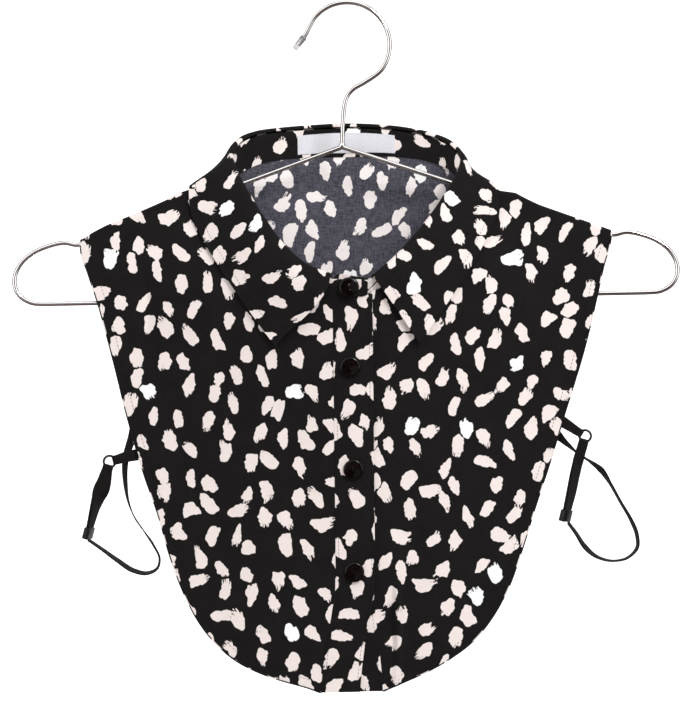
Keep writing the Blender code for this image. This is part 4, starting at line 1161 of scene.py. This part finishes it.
# %% [markdown]
# ## The hanger
#
# One wire makes both arms, their end loops and the bar, and a second one, welded into its apex, makes the
# shank and the hook. Each is a curve with a round bevel, which stays smooth at any bend.

# %% Bend the wires


def bent_wire(name, line, *nodes):
    """A round wire along a line of (x, z) points, in millimetres."""
    curve = bpy.data.curves.new(name, "CURVE")
    curve.dimensions = "3D"
    curve.bevel_depth = WIRE / 2 * MM
    curve.bevel_resolution = 5
    curve.use_fill_caps = True
    spline = curve.splines.new("POLY")
    spline.points.add(len(line) - 1)
    for point, (x, z) in zip(spline.points, line):
        point.co = (*(Vector((x, 0, z)) * MM), 1)
    spline.use_smooth = True
    print(name, "is", round(float(measured(line)[-1])), "mm long")
    return show(name, curve, (chrome,), "chrome_wire", *nodes)


def arm_line(side):
    """(x, z) from the apex down the shoulder, over the notch's dip and round the end loop to the bar."""
    start = (APEX_X, APEX_Z - 0.1)
    straight = [(side * x, start[1] - ARM_SLOPE * (x + side * -APEX_X)) for x in (40.0, 90.0, 135.0, 150.0)]
    loop = (
        (156.5, -140), (161.5, -141.4), (168.5, -140), (179, -141.8), (188, -145.6), (195, -151.2),
        (199.2, -158.6), (199.6, -165.6), (196.2, -172), (189.6, -175.8),
        (ARM_END_X, BAR_Z),
    )
    return through([start] + straight + [(side * x, z) for x, z in loop])


left_arm, right_arm = arm_line(1), arm_line(-1)
round_frame = np.vstack([right_arm[::-1], left_arm[1:], right_arm[-1:]])
closed = along(round_frame, np.linspace(0, 1, 420))
bent_wire("hanger_frame", closed, "hanger_arm_right", "hanger_arm_left", "hanger_bar")
turns = np.radians(range(136, -46, -13))[:, None]
bow = np.array((HOOK_CENTRE_X, HOOK_CENTRE_Z)) + HOOK_RADIUS * np.hstack([np.cos(turns), np.sin(turns)])
hook_tip_line = [(-26.2, -23.6), (-21.8, -17.6)]
shank = [(12.4, -47.4), (6.4, -50.8), (3.0, -54.6), (1.2, -60.0), (0.0, -70.0), (APEX_X + 0.1, APEX_Z + 0.4)]
hook_line = along(through([*hook_tip_line, *bow, *shank]), np.linspace(0, 1, 260))
bent_wire("hook_and_shank", hook_line, "hanger_hook")

# %% Fit the clear cap and the weld
end, inner = (Vector((x, 0, z)) for x, z in (hook_line[0], hook_line[6]))
cap_way = (inner - end).normalized()
bore, outer, depth = WIRE / 2 + 0.02, WIRE / 2 + 0.95, 6.0
profile = ((0, -0.3), (bore, -0.3), (bore, depth), (outer - 0.25, depth), (outer, depth - 0.3), (outer, -1.5))
profile += ((outer * 0.92, -2.3), (outer * 0.66, -3.0), (outer * 0.34, -3.3), (0, -3.4))
place = Matrix.Translation(end * MM) @ cap_way.to_track_quat("Z", "Y").to_matrix().to_4x4()
solid("clear_hook_cap", turned(profile, 32), place, clear_cap, "clear_cap", "hook_tip")
net = bmesh.new()
bmesh.ops.create_icosphere(net, subdivisions=3, radius=1.0 * MM)
place = Matrix.Translation(Vector((APEX_X, 0, APEX_Z + 0.9)) * MM) @ Matrix.Diagonal((2.1, 1.62, 1.9, 1))
solid("apex_weld", net, place, chrome, "chrome_wire")
print("Cap and weld fitted")

# %% [markdown]
# ## The body
#
# The two fronts are cut with a slanting neckline, a shoulder, a long curved side and a hem. In the pattern
# room each is one flat piece, and here the Coons patch stretches a grid between its four edges. Along its
# placket seam a front runs on under the placket, as a seam allowance does.

# %% Cut the two fronts
NEAR_TOP = (0.0, 0.3, 0.8, 1.5, 2.4, 3.6, 5.5, 8.0)
NEAR_HEM = (0.0, 0.4, 1.2, 2.6, 4.4, 5.6, 7.6)
NEAR_SHOULDER = (0.0, 0.8, 1.7, 2.9, 4.5)
NEAR_NECK = (0.0, 1.5, 3.2)
PANEL_ROWS = 84
CLOTH = 0.5
UNDER_PLACKET = 1.5
LIFT_FADES = 26.0
TUCK = 0.8
PUCKER = 0.16
PUCKER_FADES = 5.0
EDGE_WAVE = 0.3
EDGE_WAVE_FADES = 6.0
FRONTS = {"front_right": -1, "front_left": 1}


def front_face(side):
    """The surface of one front with its creases. The right one rides up onto the outer placket."""
    line = placket_line(1 if side < 0 else 2)
    edge = along(front_outline(side), np.linspace(0, 1, 160))
    lengths = measured(edge)
    lift = PLACKET_LIFT if side < 0 else UNDER_LIFT

    def surface(x, z):
        x, z = np.asarray(x, float), np.asarray(z, float)
        from_seam = side * (x - seam_at(line, z))
        y = front_y(x, z) - lift * np.exp(-np.abs(from_seam) / LIFT_FADES)
        y -= crease_height("front", x, z) * smoothstep((shoulder_top(x) - z - 2.0) / 8.0)
        # the right front dips under the top placket, and the seam puckers
        y += TUCK * smoothstep((0.15 - from_seam) / 0.5) * (side < 0)
        y -= PUCKER * ripple(z * 1.1) * np.exp(-np.abs(from_seam) / PUCKER_FADES)
        # the stitched edge waves, by the way along it of its nearest point
        away = np.full(x.shape, 1e9)
        near = np.zeros(x.shape)
        for (edge_x, edge_z), s in zip(edge, lengths):
            distance = np.hypot(x - edge_x, z - edge_z)
            near = np.where(distance < away, s, near)
            away = np.minimum(away, distance)
        wave = EDGE_WAVE * ripple(near * 0.8) * np.exp(-away / EDGE_WAVE_FADES)
        return y - wave * smoothstep((shoulder_top(x) - z) / 12.0)

    return surface


def cut_front(name, side):
    """Points of one front, its UV map and its surface."""
    line = placket_line(1 if side < 0 else 2)
    line[:, 0] -= side * UNDER_PLACKET
    neck = neck_seam_front(side)
    near = neck[: 5 * STEPS]
    start = (line[0, 0], np.interp(abs(line[0, 0]), np.abs(near[:, 0]), near[:, 1]))
    from_seam = neck[np.abs(neck[:, 0]) > abs(line[0, 0])] if side * line[0, 0] > 0 else neck
    neck_part = np.vstack([start, from_seam])
    top = np.vstack([neck_part, shoulder_line(side)[1:]])
    edge = front_outline(side, UNDER_PLACKET)
    corner = (HEM_CORNER + 1) * STEPS
    neck_length, whole = measured(neck_part)[-1], measured(top)[-1]
    share = neck_length / whole
    on_neck = closer_at_ends(neck_length, (0, 1.2, 1.8, 3.2), NEAR_SHOULDER, 40) * share
    on_shoulder = closer_at_ends(whole - neck_length, NEAR_NECK, NEAR_HEM, 34)
    across = np.concatenate([on_neck, share + (1 - share) * on_shoulder[1:]])
    inner, outer, hem = np.vstack([start, line[1:]]), edge[: corner + 1], edge[corner:][::-1]
    x, z = np.moveaxis(coons(top, hem, inner, outer, across, PANEL_ROWS, NEAR_TOP, NEAR_HEM), -1, 0)
    surface = front_face(side)
    y = surface(x, z)
    y[0] = np.minimum(y[0], -0.05)
    flat = flat_map(front_y, x, z, PRINT_AT[name], side * FRONT_LEAN)
    return np.stack([x, y, z], axis=-1), flat, surface


faces = {}
for name, side in FRONTS.items():
    points, flat, faces[name] = cut_front(name, side)
    sheet("cloth_" + name, points, flat, FAR_BEHIND, LINED, CLOTH, nodes=(name,))

# %% [markdown]
# The back is one piece with a high, shallow neckline, cut a little narrower and shorter than the fronts.
# Its printed face is towards the wearer's back, so through the open neck only the slate reverse shows.

# %% Cut the back


def back_surface(x, z):
    """The surface of the back with its creases."""
    x, z = np.asarray(x, float), np.asarray(z, float)
    y = back_y(x, z)
    y += crease_height("back", x, z) * smoothstep((shoulder_top(x) - z - 2.0) / 8.0)
    y += 0.25 * ripple(x * 0.7) * np.exp(-np.abs(z - HEM_Z - BACK_SHORTER) / 8.0)
    return y


def cut_back():
    """Points of the back, its UV map and its outline."""
    neck_rows = list(NECK_SEAM[: SHOULDER_ROW + 1])
    neck = through([(-x, z) for x, z in neck_rows[:0:-1]] + neck_rows)
    top = np.vstack([shoulder_line(-1)[::-1][:-1], neck, shoulder_line(1)[1:]])
    top[0, 0] += BACK_INSET
    top[-1, 0] -= BACK_INSET
    edge = through(back_edge(-1) + [(-4.0, HEM_Z + BACK_SHORTER)] + back_edge(1)[::-1])
    corner = (HEM_CORNER + 1) * STEPS
    right, hem, left = edge[: corner + 1], edge[corner:-corner], edge[-corner - 1 :][::-1]
    whole = measured(top)[-1]
    shoulder_length = measured(shoulder_line(-1))[-1]
    share = shoulder_length / whole
    on_shoulder = closer_at_ends(shoulder_length, NEAR_HEM, NEAR_NECK, 30) * share
    on_neck = closer_at_ends(whole * (1 - 2 * share), NEAR_SHOULDER, NEAR_SHOULDER, 62)
    across = np.concatenate([on_shoulder, share + (1 - 2 * share) * on_neck[1:-1], 1 - on_shoulder[::-1]])
    x, z = np.moveaxis(coons(top, hem, right, left, across, PANEL_ROWS, NEAR_TOP, NEAR_HEM), -1, 0)
    y = back_surface(x, z)
    y[0] = np.maximum(y[0], 0.05)
    flat = flat_map(back_y, x, z, PRINT_AT["back_panel"], BACK_LEAN)
    return np.stack([x, y, z], axis=-1), flat, edge


points, flat, back_outline = cut_back()
faces["back_panel"] = back_surface
sheet("cloth_back_panel", points, flat, FAR_AHEAD, LINED, CLOTH, nodes=("back_panel",))

# %% [markdown]
# ## The placket
#
# The placket is the folded strip that carries the buttons. The outer layer is sewn to the right front and
# lies over the under layer, which is sewn to the left front. Both are two cloths thick, so their edges are
# rounder.

# %% Fold the two plackets
PLACKET_WALL = 0.9
PLACKET_STITCH = 1.9
PLACKET_LENGTH = 236.0
PLACKETS = (
    # name, column of its seam, the way it goes from it, how far off the front, how deep its drift
    ("placket_top", 1, 1, PLACKET_LIFT, 0.12),
    ("placket_under", 2, -1, UNDER_LIFT, 0.0),
)


def strip_down(name, column, direction, offset, drift):
    """A strip down the front, from its seam towards the other side, with a dip along each row of stitches."""
    top = NECK_FRONT_Z + 1.6
    downward = closer_at_ends(PLACKET_LENGTH, (0, 0.5, 2), (0, 0.5, 1.6), 110)
    heights = top + (HEM_Z - NECK_FRONT_Z - 1.6) * downward
    edge = (0, 0.35, 1.0, 1.9)
    z, w = np.meshgrid(heights, closer_at_ends(PLACKET_WIDTH, edge, edge, 14) * PLACKET_WIDTH, indexing="ij")
    x = seam_at(placket_line(column), z) + direction * w
    from_far = PLACKET_WIDTH - w
    stitch_dip = bell(w - PLACKET_STITCH, 0.7) + bell(from_far - PLACKET_STITCH, 0.7)
    y = front_y(x, z) - offset + 0.1 * stitch_dip
    y -= 0.14 * ripple(z * 1.1) * np.exp(-w / 5.0) + 0.16 * ripple(z * 0.9 + 40) * np.exp(-from_far / 5.0)
    y -= drift * bell(w - PLACKET_WIDTH * 0.5, 6.0) * (0.5 + 0.5 * np.sin(z / 19.0))
    flat = np.stack([x * MM, (z - PRINT_LEVEL) * MM], axis=-1) + PRINT_AT[name]
    return np.stack([x, y, z], axis=-1), flat


for name, *how in PLACKETS:
    points, flat = strip_down(name, *how)
    sheet("cloth_" + name, points, flat, FAR_BEHIND, PRINTED, PLACKET_WALL, 0.3, (name,))

# %% [markdown]
# ## The collar
#
# A shirt collar has two parts. The stand is the band that rises from the neckline, and its ends lap over
# each other at the front, where the first button closes them. The fall is sewn to the top of the stand,
# rolls over and lies down on the body, and ends in two points. Both are made round the neck, station by
# station, between the same three lines: the neck seam, the fold at the top and the edge of the leaf.

# %% Walk round the neck
NEAR_RIDGE = (0.0, 0.8, 1.6, 2.6, 4.0, 6.0)
NEAR_FRONT = (0.0, 0.4, 1.2)


def spaced(part, near_start, near_end, between):
    """Points along part of a ring, closer together at the ends that lie on a shoulder."""
    total = measured(part)[-1]
    first = np.array(near_start)
    last = np.array(near_end)
    middle = np.linspace(first[-1], total - last[-1], between + 2)[1:-1]
    return along(part, np.concatenate([first, middle, total - last[::-1]]) / total)


def stations(ring):
    """Points round the neck from the left front end. Each ring crosses the shoulders at the same two."""
    middle, reach = len(ring) // 2, SHOULDER_ROW * STEPS
    left = spaced(ring[: middle - reach + 1], NEAR_FRONT, NEAR_RIDGE, 42)
    back = spaced(ring[middle - reach : middle + reach + 1], NEAR_RIDGE, NEAR_RIDGE, 58)
    right = spaced(ring[middle + reach :], NEAR_RIDGE, NEAR_FRONT, 42)
    return np.vstack([left, back[1:], right[1:]])


seam, fold, leaf = stations(neck_seam_ring()), stations(fold_ring()), stations(leaf_ring())
upward = unit(fold - seam)
outward = unit(np.cross(unit(np.gradient(fold, axis=0)), upward))
outward *= np.sign(np.sum(outward * (fold - fold.mean(axis=0)), axis=1))[:, None]
round_neck = measured((seam + fold) / 2)
share_round = np.linspace(0, 1, len(seam))
print(len(seam), "stations round the neck")

# %% Sew the stand
STAND_WALL = 1.3
STAND_HEIGHT = 22.0
LEFT_LAP = 20.0
RIGHT_LAP = 21.0
FALL = 1.1
BELOW_FOLD = 1.2 / 2 + ROLL_RADIUS
stand_top = fold - upward * (BELOW_FOLD + 4 * GAP)
# beside the hanger's arms the stand stays a little higher and further in
beside_arm = bell(seam[:, 2] - SHOULDER[0][3] + 4.0, 10.0)
inside_by = outward * (2.8 * beside_arm)[:, None]
inside_by[:, 1] *= 1 - beside_arm
stand_bottom = seam + upward * (-0.7 + 2.3 * beside_arm)[:, None] - inside_by
# at the front its right end laps over the left one: both run on past the middle, with rounded corners
right_lap, left_lap = smoothstep((share_round - 0.86) / 0.14), smoothstep((0.14 - share_round) / 0.14)
reach = closer_at_ends(LEFT_LAP, (0, 0.5), (0, 0.5, 1.4), 9)[1:]
rows = []
for share in closer_at_ends(STAND_HEIGHT, (0, 0.4, 1.2, 2.2), (0, 0.5), 9):
    row = stand_bottom + (stand_top - stand_bottom) * share
    row[:, 1] -= right_lap * PLACKET_LIFT - left_lap * 2 * GAP
    rise = 1.5 + 2.5 * share
    corner = 1.6 * np.clip((reach - 0.8) / 0.2, 0, 1) ** 2 * (2 * share - 1)
    left_end = [-LEFT_LAP * reach, -GAP * np.ones_like(reach), rise * reach - corner]
    right_end = [RIGHT_LAP * reach, -0.4 * np.sin(math.pi * reach / 2), -0.7 * reach - corner]
    left_end, right_end = (np.stack(end, axis=-1) for end in (left_end, right_end))
    rows.append(np.vstack([row[0] + left_end[::-1], row, row[-1] + right_end]))
stand_points = np.array(rows)
middle_row = measured(stand_points[len(rows) // 2])
rise = np.linalg.norm(stand_points - stand_points[:1], axis=-1)
flat = np.stack([np.broadcast_to(middle_row, rise.shape), rise], axis=-1) * MM + PRINT_AT["collar_stand"]
sheet("cloth_collar_stand", stand_points, flat, NECK_MIDDLE, PRINTED, STAND_WALL, 0.4, ("collar_stand",))
print("The stand is", round(float(middle_row[-1])), "mm long")

# %% Roll the fall over the stand
FALL_DEPTH = 46.0
# first the small half round over the stand's top, then one sweep down to the leaf's edge
centre = fold - upward * BELOW_FOLD + outward * ROLL_RADIUS
columns = []
for degrees in range(180, 19, -20):
    turn = math.radians(degrees)
    columns.append(centre + ROLL_RADIUS * (math.cos(turn) * outward + math.sin(turn) * upward))
start = columns[-1]
reach = np.linalg.norm(leaf - start, axis=1)[:, None]
landing = unit(leaf - start)
straight = smoothstep((0.16 - share_round) / 0.16)[:, None]
leaving = unit((1 - straight) * (0.45 * outward - upward) + straight * (landing + 0.2 * outward))
for s in closer_at_ends(FALL_DEPTH, (1.6,), (0, 0.45, 1.2, 2.6, 4.6), 26):
    of_start, of_leaving, of_leaf, of_landing = shares(s)
    column = of_start * start + of_leaving * reach * leaving + of_leaf * leaf + of_landing * reach * landing
    columns.append(column)
# the points stand off a little, and the leaf waves more towards its edge
fall_points = keep_off_body(np.array(columns))
down_leaf = np.linspace(0, 1, len(columns))[:, None]
for tip in (fall_points[-1, 0], fall_points[-1, -1]):
    fall_points[..., 1] -= 1.3 * bell(np.linalg.norm(fall_points - tip, axis=-1), 15.0)
wave = 0.35 * np.sin(round_neck / 17.0 + 0.6) + 0.25 * np.sin(round_neck / 9.5 + 2.1)
away = np.where(fall_points[..., 1] < 0, 1, -1)
fall_points[..., 1] -= away * np.abs(wave) * smoothstep((down_leaf - 0.4) / 0.5)
middle_row = measured(fall_points[len(columns) // 2])
downward = np.stack([measured(fall_points[:, k]) for k in range(fall_points.shape[1])], axis=1)
flat = np.stack([np.broadcast_to(middle_row, downward.shape), -downward], axis=-1) * MM
flat += PRINT_AT["collar_fall"]
sheet("cloth_collar_fall", fall_points, flat, NECK_MIDDLE, PRINTED, FALL, 0.36, ("collar_fall",))
print("The fall is", round(float(middle_row[-1])), "mm long at its middle")

# %% [markdown]
# ## The label
#
# A woven ribbon label is sewn inside the back of the stand by its two ends, and it bows a little between
# them. It is left blank.

# %% Sew in the blank label
LABEL_WALL = 0.35
LABEL_FROM = -28.0
LABEL_WIDTH = 59.5
LABEL_HEIGHT = 15.0
BEHIND_LABEL = (0, 300, -80)
inward = -outward * (STAND_WALL / 2 + 0.12 + LABEL_WALL / 2)
lowest = seam + upward * 0.8
across = closer_at_ends(LABEL_WIDTH, (0, 0.4, 1.3, 2.4), (0, 0.4, 1.3, 2.4), 46)
label_x = LABEL_FROM + LABEL_WIDTH * across
bow = np.sin(math.pi * across)
behind = seam[:, 1] > 8
rows = []
for share in closer_at_ends(LABEL_HEIGHT, (0, 0.4), (0, 0.4), 12):
    line = (lowest + (stand_top - lowest) * (0.03 + 0.77 * share) + inward)[behind]
    order = np.argsort(line[:, 0])
    y, z = (np.interp(label_x, line[order, 0], line[order, k]) for k in (1, 2))
    y = y - 0.55 * bow * math.sin(math.pi * share) - 0.25 * np.abs(ripple(label_x * 1.3)) * bow
    rows.append(np.stack([label_x, y, z + 0.5 * bow], axis=-1))
label_points = np.array(rows)
flat = np.stack(np.meshgrid(label_x, np.arange(len(rows)) * 1.1), axis=-1) * MM
sheet("woven_label", label_points, flat, BEHIND_LABEL, SATIN, LABEL_WALL, 0.1, ("label",))
print("The label is", LABEL_WIDTH, "mm wide")

# %% [markdown]
# ## The buttons
#
# A shirt button is turned from its side view: a flat back, a rounded rim and a dished face. Two cylinders
# cut its holes, and a few turns of thread cross between them. Each sits square to the cloth under it.

# %% Turn the buttons
BUTTON = 12.0
BUTTONS = {
    # across, height, turn in degrees
    "button_neck": (1.5, -171.2, 3.0),
    "button_1": (1.3, -217.8, -6.0),
    "button_2": (2.1, -278.4, 4.0),
    "button_3": (1.5, -339.7, -3.0),
}
# share of the radius, height: first the back, then the rim, then the dished face
BUTTON_BACK = ((0, -0.15), (0.55, -0.15), (0.8, 0.05), (0.93, 0.42), (0.99, 0.9))
BUTTON_RIM = ((1, 1.2), (0.99, 1.46), (0.965, 1.66), (0.93, 1.8), (0.865, 1.95), (0.81, 2.06), (0.76, 2.08))
BUTTON_DISH = ((0.71, 2.03), (0.62, 1.93), (0.5, 1.8), (0.38, 1.66), (0.28, 1.54), (0.2, 1.46))
BUTTON_DISH += ((0.12, 1.42), (0, 1.4))
HOLE_APART = 1.55
HOLE_RADIUS = 0.85
HOLE_SIDES = 20
SHARP_FROM = 38
BUTTON_SEAT = 0.5
NECK_BUTTON_Y = -40.0


def drilled_button(name):
    """One button, lying on its back at the origin, with its two holes cut."""
    profile = [(BUTTON / 2 * share, height) for share, height in BUTTON_BACK + BUTTON_RIM + BUTTON_DISH]
    body = bpy.data.objects.new(name, mesh_from(name, turned(profile, 56)))
    net = bmesh.new()
    for side in (-1, 1):
        there = Matrix.Translation((0, side * HOLE_APART * MM, 0.8 * MM))
        size = {"radius1": HOLE_RADIUS * MM, "radius2": HOLE_RADIUS * MM, "depth": 4 * MM}
        bmesh.ops.create_cone(net, cap_ends=True, segments=HOLE_SIDES, matrix=there, **size)
    drill = bpy.data.objects.new("drill", mesh_from("drill", net, smooth=False))
    for made in (body, drill):
        bpy.context.scene.collection.objects.link(made)
    cut = body.modifiers.new("holes", "BOOLEAN")
    cut.operation = "DIFFERENCE"
    cut.object = drill
    bpy.context.view_layer.update()
    mesh = bpy.data.meshes.new_from_object(body.evaluated_get(bpy.context.evaluated_depsgraph_get()))
    bpy.data.objects.remove(body)
    bpy.data.objects.remove(drill)
    mesh.shade_smooth()
    mesh.set_sharp_from_angle(angle=math.radians(SHARP_FROM))
    return mesh


button_frames = {}
for name, (x, z, spin_by) in BUTTONS.items():
    if name == "button_neck":
        surface, slope = NECK_BUTTON_Y, 0.0
    else:
        surface = float(front_y(x, z)) - PLACKET_LIFT - BUTTON_SEAT
        slope = float(front_y(x, z + 2.0) - front_y(x, z - 2.0)) / 4.0
    tilt = Matrix.Rotation(math.pi / 2 - math.atan(slope), 4, "X")
    tilt = tilt @ Matrix.Rotation(math.radians(spin_by), 4, "Z")
    button_frames[name] = Matrix.Translation(Vector((x, surface - BUTTON_SEAT, z)) * MM) @ tilt
    mesh = drilled_button("resin_" + name)
    mesh.transform(button_frames[name])
    show("resin_" + name, mesh, (button_resin,), "button_black", name)
print("Turned", len(BUTTONS), "buttons of", BUTTON, "mm")

# %% [markdown]
# ## Sewing
#
# A row of machine stitches is a row of small rounded beads of thread, each a stretched icosphere laid on
# the cloth. The narrow hem of each panel is a strip turned in over the raw edge, held by such a row five
# millimetres in.

# %% Helpers for stitches and hems
STITCH = 1.9
STITCH_EVERY = 2.3
STITCH_INSET = 5.0
HEM_WALL = 0.36
hems = {}


def stitch_row(net, path, square, thick=0.28, every=STITCH_EVERY, length=STITCH):
    """Adds beads of thread along a path of points, given in millimetres, facing the way the cloth faces."""
    lengths = measured(path)
    total = lengths[-1]
    count = int(total / every)

    def at(curve, distance):
        return np.array([np.interp(distance, lengths, axis) for axis in curve.T])

    for k in range(count):
        middle = (k + 0.5) * total / count
        ends = [at(path, middle + d) for d in (-length / 2, length / 2)]
        ahead = unit(ends[1] - ends[0])
        beside = unit(np.cross(unit(at(square, middle)), ahead))
        turn = Matrix(np.stack([ahead, beside, np.cross(ahead, beside)], axis=1).tolist()).to_4x4()
        centre = Matrix.Translation(Vector((ends[0] + ends[1]) / 2) * MM)
        size = Matrix.Diagonal((length / 2 * MM, thick / 2 * MM, thick / 2 * MM, 1))
        bmesh.ops.create_icosphere(net, subdivisions=1, radius=1.0, matrix=centre @ turn @ size)
    return count


def sewn(name, net, sheet_name, finish=thread, slot="printed_cloth"):
    """The stitches that a bmesh holds, kept with the cloth that they are sewn through."""
    stitches = show(name, mesh_from(name, net), (finish,), slot)
    hems.setdefault(sheet_name, []).append(stitches)


def ways(edge, side):
    """The directions along an edge line and square to it into the cloth."""
    ahead = unit(np.gradient(edge, axis=0))
    return ahead, np.stack([ahead[:, 1], -ahead[:, 0]], axis=-1) * side


def inset_line(edge, distance, side):
    """An (x, z) line at this distance inside an edge line, with its doubled-back points left out."""
    ahead, inward = ways(edge, side)
    moved = edge + inward * distance
    keep = [0]
    for k in range(1, len(moved)):
        if np.dot(moved[k] - moved[keep[-1]], ahead[k]) > 0.2:
            keep.append(k)
    return moved[keep]


def turned_hem(name, surface, outward, edge, side):
    """A strip that wraps the raw edge of a panel and lies on its reverse."""
    profile = ((0.25, 0.30), (-0.12, 0.34), (-0.42, 0.1), (-0.42, -0.25), (-0.1, -0.55), (0.7, -0.62))
    profile += ((2.6, -0.62), (4.8, -0.6), (5.5, -0.5), (5.62, -0.3))
    inward = ways(edge, side)[1]
    rows = [laid_on(surface, outward, *(edge + inward * max(d, 0)).T, t) for d, t in profile]
    for row, (d, _) in zip(rows, profile):
        row[:, [0, 2]] += inward * min(d, 0)
    points = np.array(rows)
    flat = np.stack(np.meshgrid(measured(edge), measured(profile)), axis=-1) * MM + PRINT_AT["hem"]
    inside = points.reshape(-1, 3).mean(axis=0) - (0, outward * 60, 0)
    return sheet(name, points, flat, inside, PRINTED, HEM_WALL)


print("Sewing helpers ready")

# %% Turn in the hems and stitch them
for name, side, outward_y in (("front_right", -1, -1), ("front_left", 1, -1), ("back_panel", 0, 1)):
    whole = front_outline(side) if side else back_outline
    turn_side = side or -1
    count = int(measured(whole)[-1] / STITCH)
    edge = along(whole, np.linspace(0.004, 1.0 if side else 0.996, count))
    hems[name] = [turned_hem("hem_" + name, faces[name], outward_y, edge, turn_side)]
    row = inset_line(edge, STITCH_INSET, turn_side)
    on_cloth, raised = (laid_on(faces[name], outward_y, *row.T, off) for off in (0.0, 1.0))
    net = bmesh.new()
    total = 0
    for off in (CLOTH / 2 + 0.05, -0.85):
        path = laid_on(faces[name], outward_y, *row.T, off)
        total += stitch_row(net, path, raised - on_cloth, thick=0.3)
    sewn("hem_stitches_" + name, net, name)
    print(name, "has", total, "hem stitches")

# %% Stitch the placket
for name, column, direction, offset, *_ in PLACKETS:
    net = bmesh.new()
    z = np.linspace(NECK_FRONT_Z - 2.0, HEM_Z + 1.0, 120)
    for inset in (PLACKET_STITCH, PLACKET_WIDTH - PLACKET_STITCH):
        x = seam_at(placket_line(column), z) + direction * inset
        path = np.stack([x, front_y(x, z) - offset - PLACKET_WALL / 2 + 0.02, z], axis=-1)
        stitch_row(net, path, np.tile((0.0, -1.0, 0.0), (len(z), 1)))
    sewn("stitches_" + name, net, name)
print("Placket stitched")

# %% Stitch the collar and the label


def square_off(points, row_of):
    """The direction square to a sheet, away from the neck's middle, at each point of one of its rows."""
    down = points[row_of + 1] - points[row_of - 1]
    square = unit(np.cross(unit(np.gradient(points[row_of], axis=0)), down))
    away = points[row_of] - NECK_MIDDLE
    return square * np.sign(np.sum(square * away))


net = bmesh.new()
square = square_off(stand_points, 3)
path = stand_points[3] + square * (STAND_WALL / 2 + 0.02)
stitch_row(net, path[2:-2], square[2:-2])
sewn("stitches_stand", net, "collar_stand")

# the fall has one row along its lower edge and one up each end
net = bmesh.new()
up_columns = np.swapaxes(fall_points, 0, 1)[:, ::-1]
path = np.array([along(column, [STITCH_INSET / measured(column)[-1]])[0] for column in up_columns])
lengths = measured(path)
keep = (lengths > STITCH_INSET) & (lengths < lengths[-1] - STITCH_INSET)
square = square_off(fall_points, len(fall_points) - 3)
path = path + square * (FALL / 2 + 0.03)
stitch_row(net, path[keep], square[keep])
for end, inner in ((0, 3), (-1, -4)):
    edge_line = fall_points[11:, end]
    inward_line = unit(fall_points[11:, inner] - edge_line)
    path = edge_line + inward_line * STITCH_INSET
    square = unit(np.cross(np.gradient(path, axis=0), inward_line))
    square *= -np.sign(square[:, 1:2])
    keep = measured(path) < measured(path)[-1] - STITCH_INSET
    stitch_row(net, (path + square * (FALL / 2 + 0.05))[keep], square[keep])
sewn("stitches_fall", net, "collar_fall")

net = bmesh.new()
for column in (3, -4):
    path = label_points[:, column] - np.array((0.0, LABEL_WALL / 2 + 0.02, 0.0))
    facing = np.tile((0.0, -1.0, 0.0), (len(path), 1))
    stitch_row(net, path, facing, thick=0.3, every=2.1, length=1.6)
sewn("stitches_label", net, "label", pale_thread, "label_cloth")
print("Collar and label stitched")

# %% Sew on the buttons
THREAD_TURNS = 4
THREAD_APART = 0.32
THREAD_RADIUS = 0.17
net = bmesh.new()
s = np.linspace(-1.05, 1.05, 9)
for frame_of in button_frames.values():
    for turn_of in range(THREAD_TURNS):
        x = np.full(len(s), (turn_of - 1.5) * THREAD_APART)
        height = 1.62 + 0.22 * (1 - s * s) - 0.7 * np.maximum(np.abs(s) - 0.7, 0) ** 0.5
        line = [Vector(point) for point in np.stack([x, s * HOLE_APART, height], axis=-1)]
        for one, other in zip(line, line[1:]):
            way = (other - one).to_track_quat("Z", "Y").to_matrix().to_4x4()
            there = frame_of @ Matrix.Translation((one + other) / 2 * MM) @ way
            half = (other - one).length * 0.62
            size = Matrix.Diagonal((THREAD_RADIUS * MM, THREAD_RADIUS * MM, half * MM, 1))
            bmesh.ops.create_icosphere(net, subdivisions=1, radius=1.0, matrix=there @ size)
stitches = show("button_thread", mesh_from("button_thread", net), (thread,), "button_black")
print("Buttons sewn on with", len(stitches.data.polygons), "faces of thread")

# %% [markdown]
# ## The cut
#
# Last, each cloth piece is listed with the size of the flat piece that it was cut from, how it is held and
# what it rests on, and the sizes are printed.

PANELS = ("cloth_front_right", "cloth_front_left", "cloth_back_panel")
CUT = {
    # width and length of the flat piece, its area where it is no rectangle, how it is held, what it rests on
    "cloth_back_panel": (0.325, 0.320, 0.072, "hung", ("hanger_frame",)),
    "cloth_front_right": (0.160, 0.300, 0.0312, "hung", ("hanger_frame",)),
    "cloth_front_left": (0.155, 0.300, 0.0292, "hung", ("hanger_frame",)),
    "cloth_placket_top": (0.0234, 0.238, 0.0055, "hung", ("cloth_front_right",)),
    "cloth_placket_under": (0.0234, 0.238, 0.0055, "hung", ("cloth_front_left",)),
    "cloth_collar_stand": (0.400, 0.030, 0.0062, "folded", PANELS),
    "cloth_collar_fall": (0.430, 0.062, 0.0175, "folded", ("cloth_collar_stand",)),
    "woven_label": (0.0595, 0.014, None, "hung", ("cloth_collar_stand",)),
}
for name, (width, length, area, held, rests_on) in CUT.items():
    print(name, "was cut to", width, "by", length, "m")

# %% Print how far the pieces grow past the CAD box
low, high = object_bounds()
grown = [round(float(v) * 1000, 1) for v in (*(cad_low - low), *(high - cad_high))]
print("Grown past the CAD box by", grown, "mm")
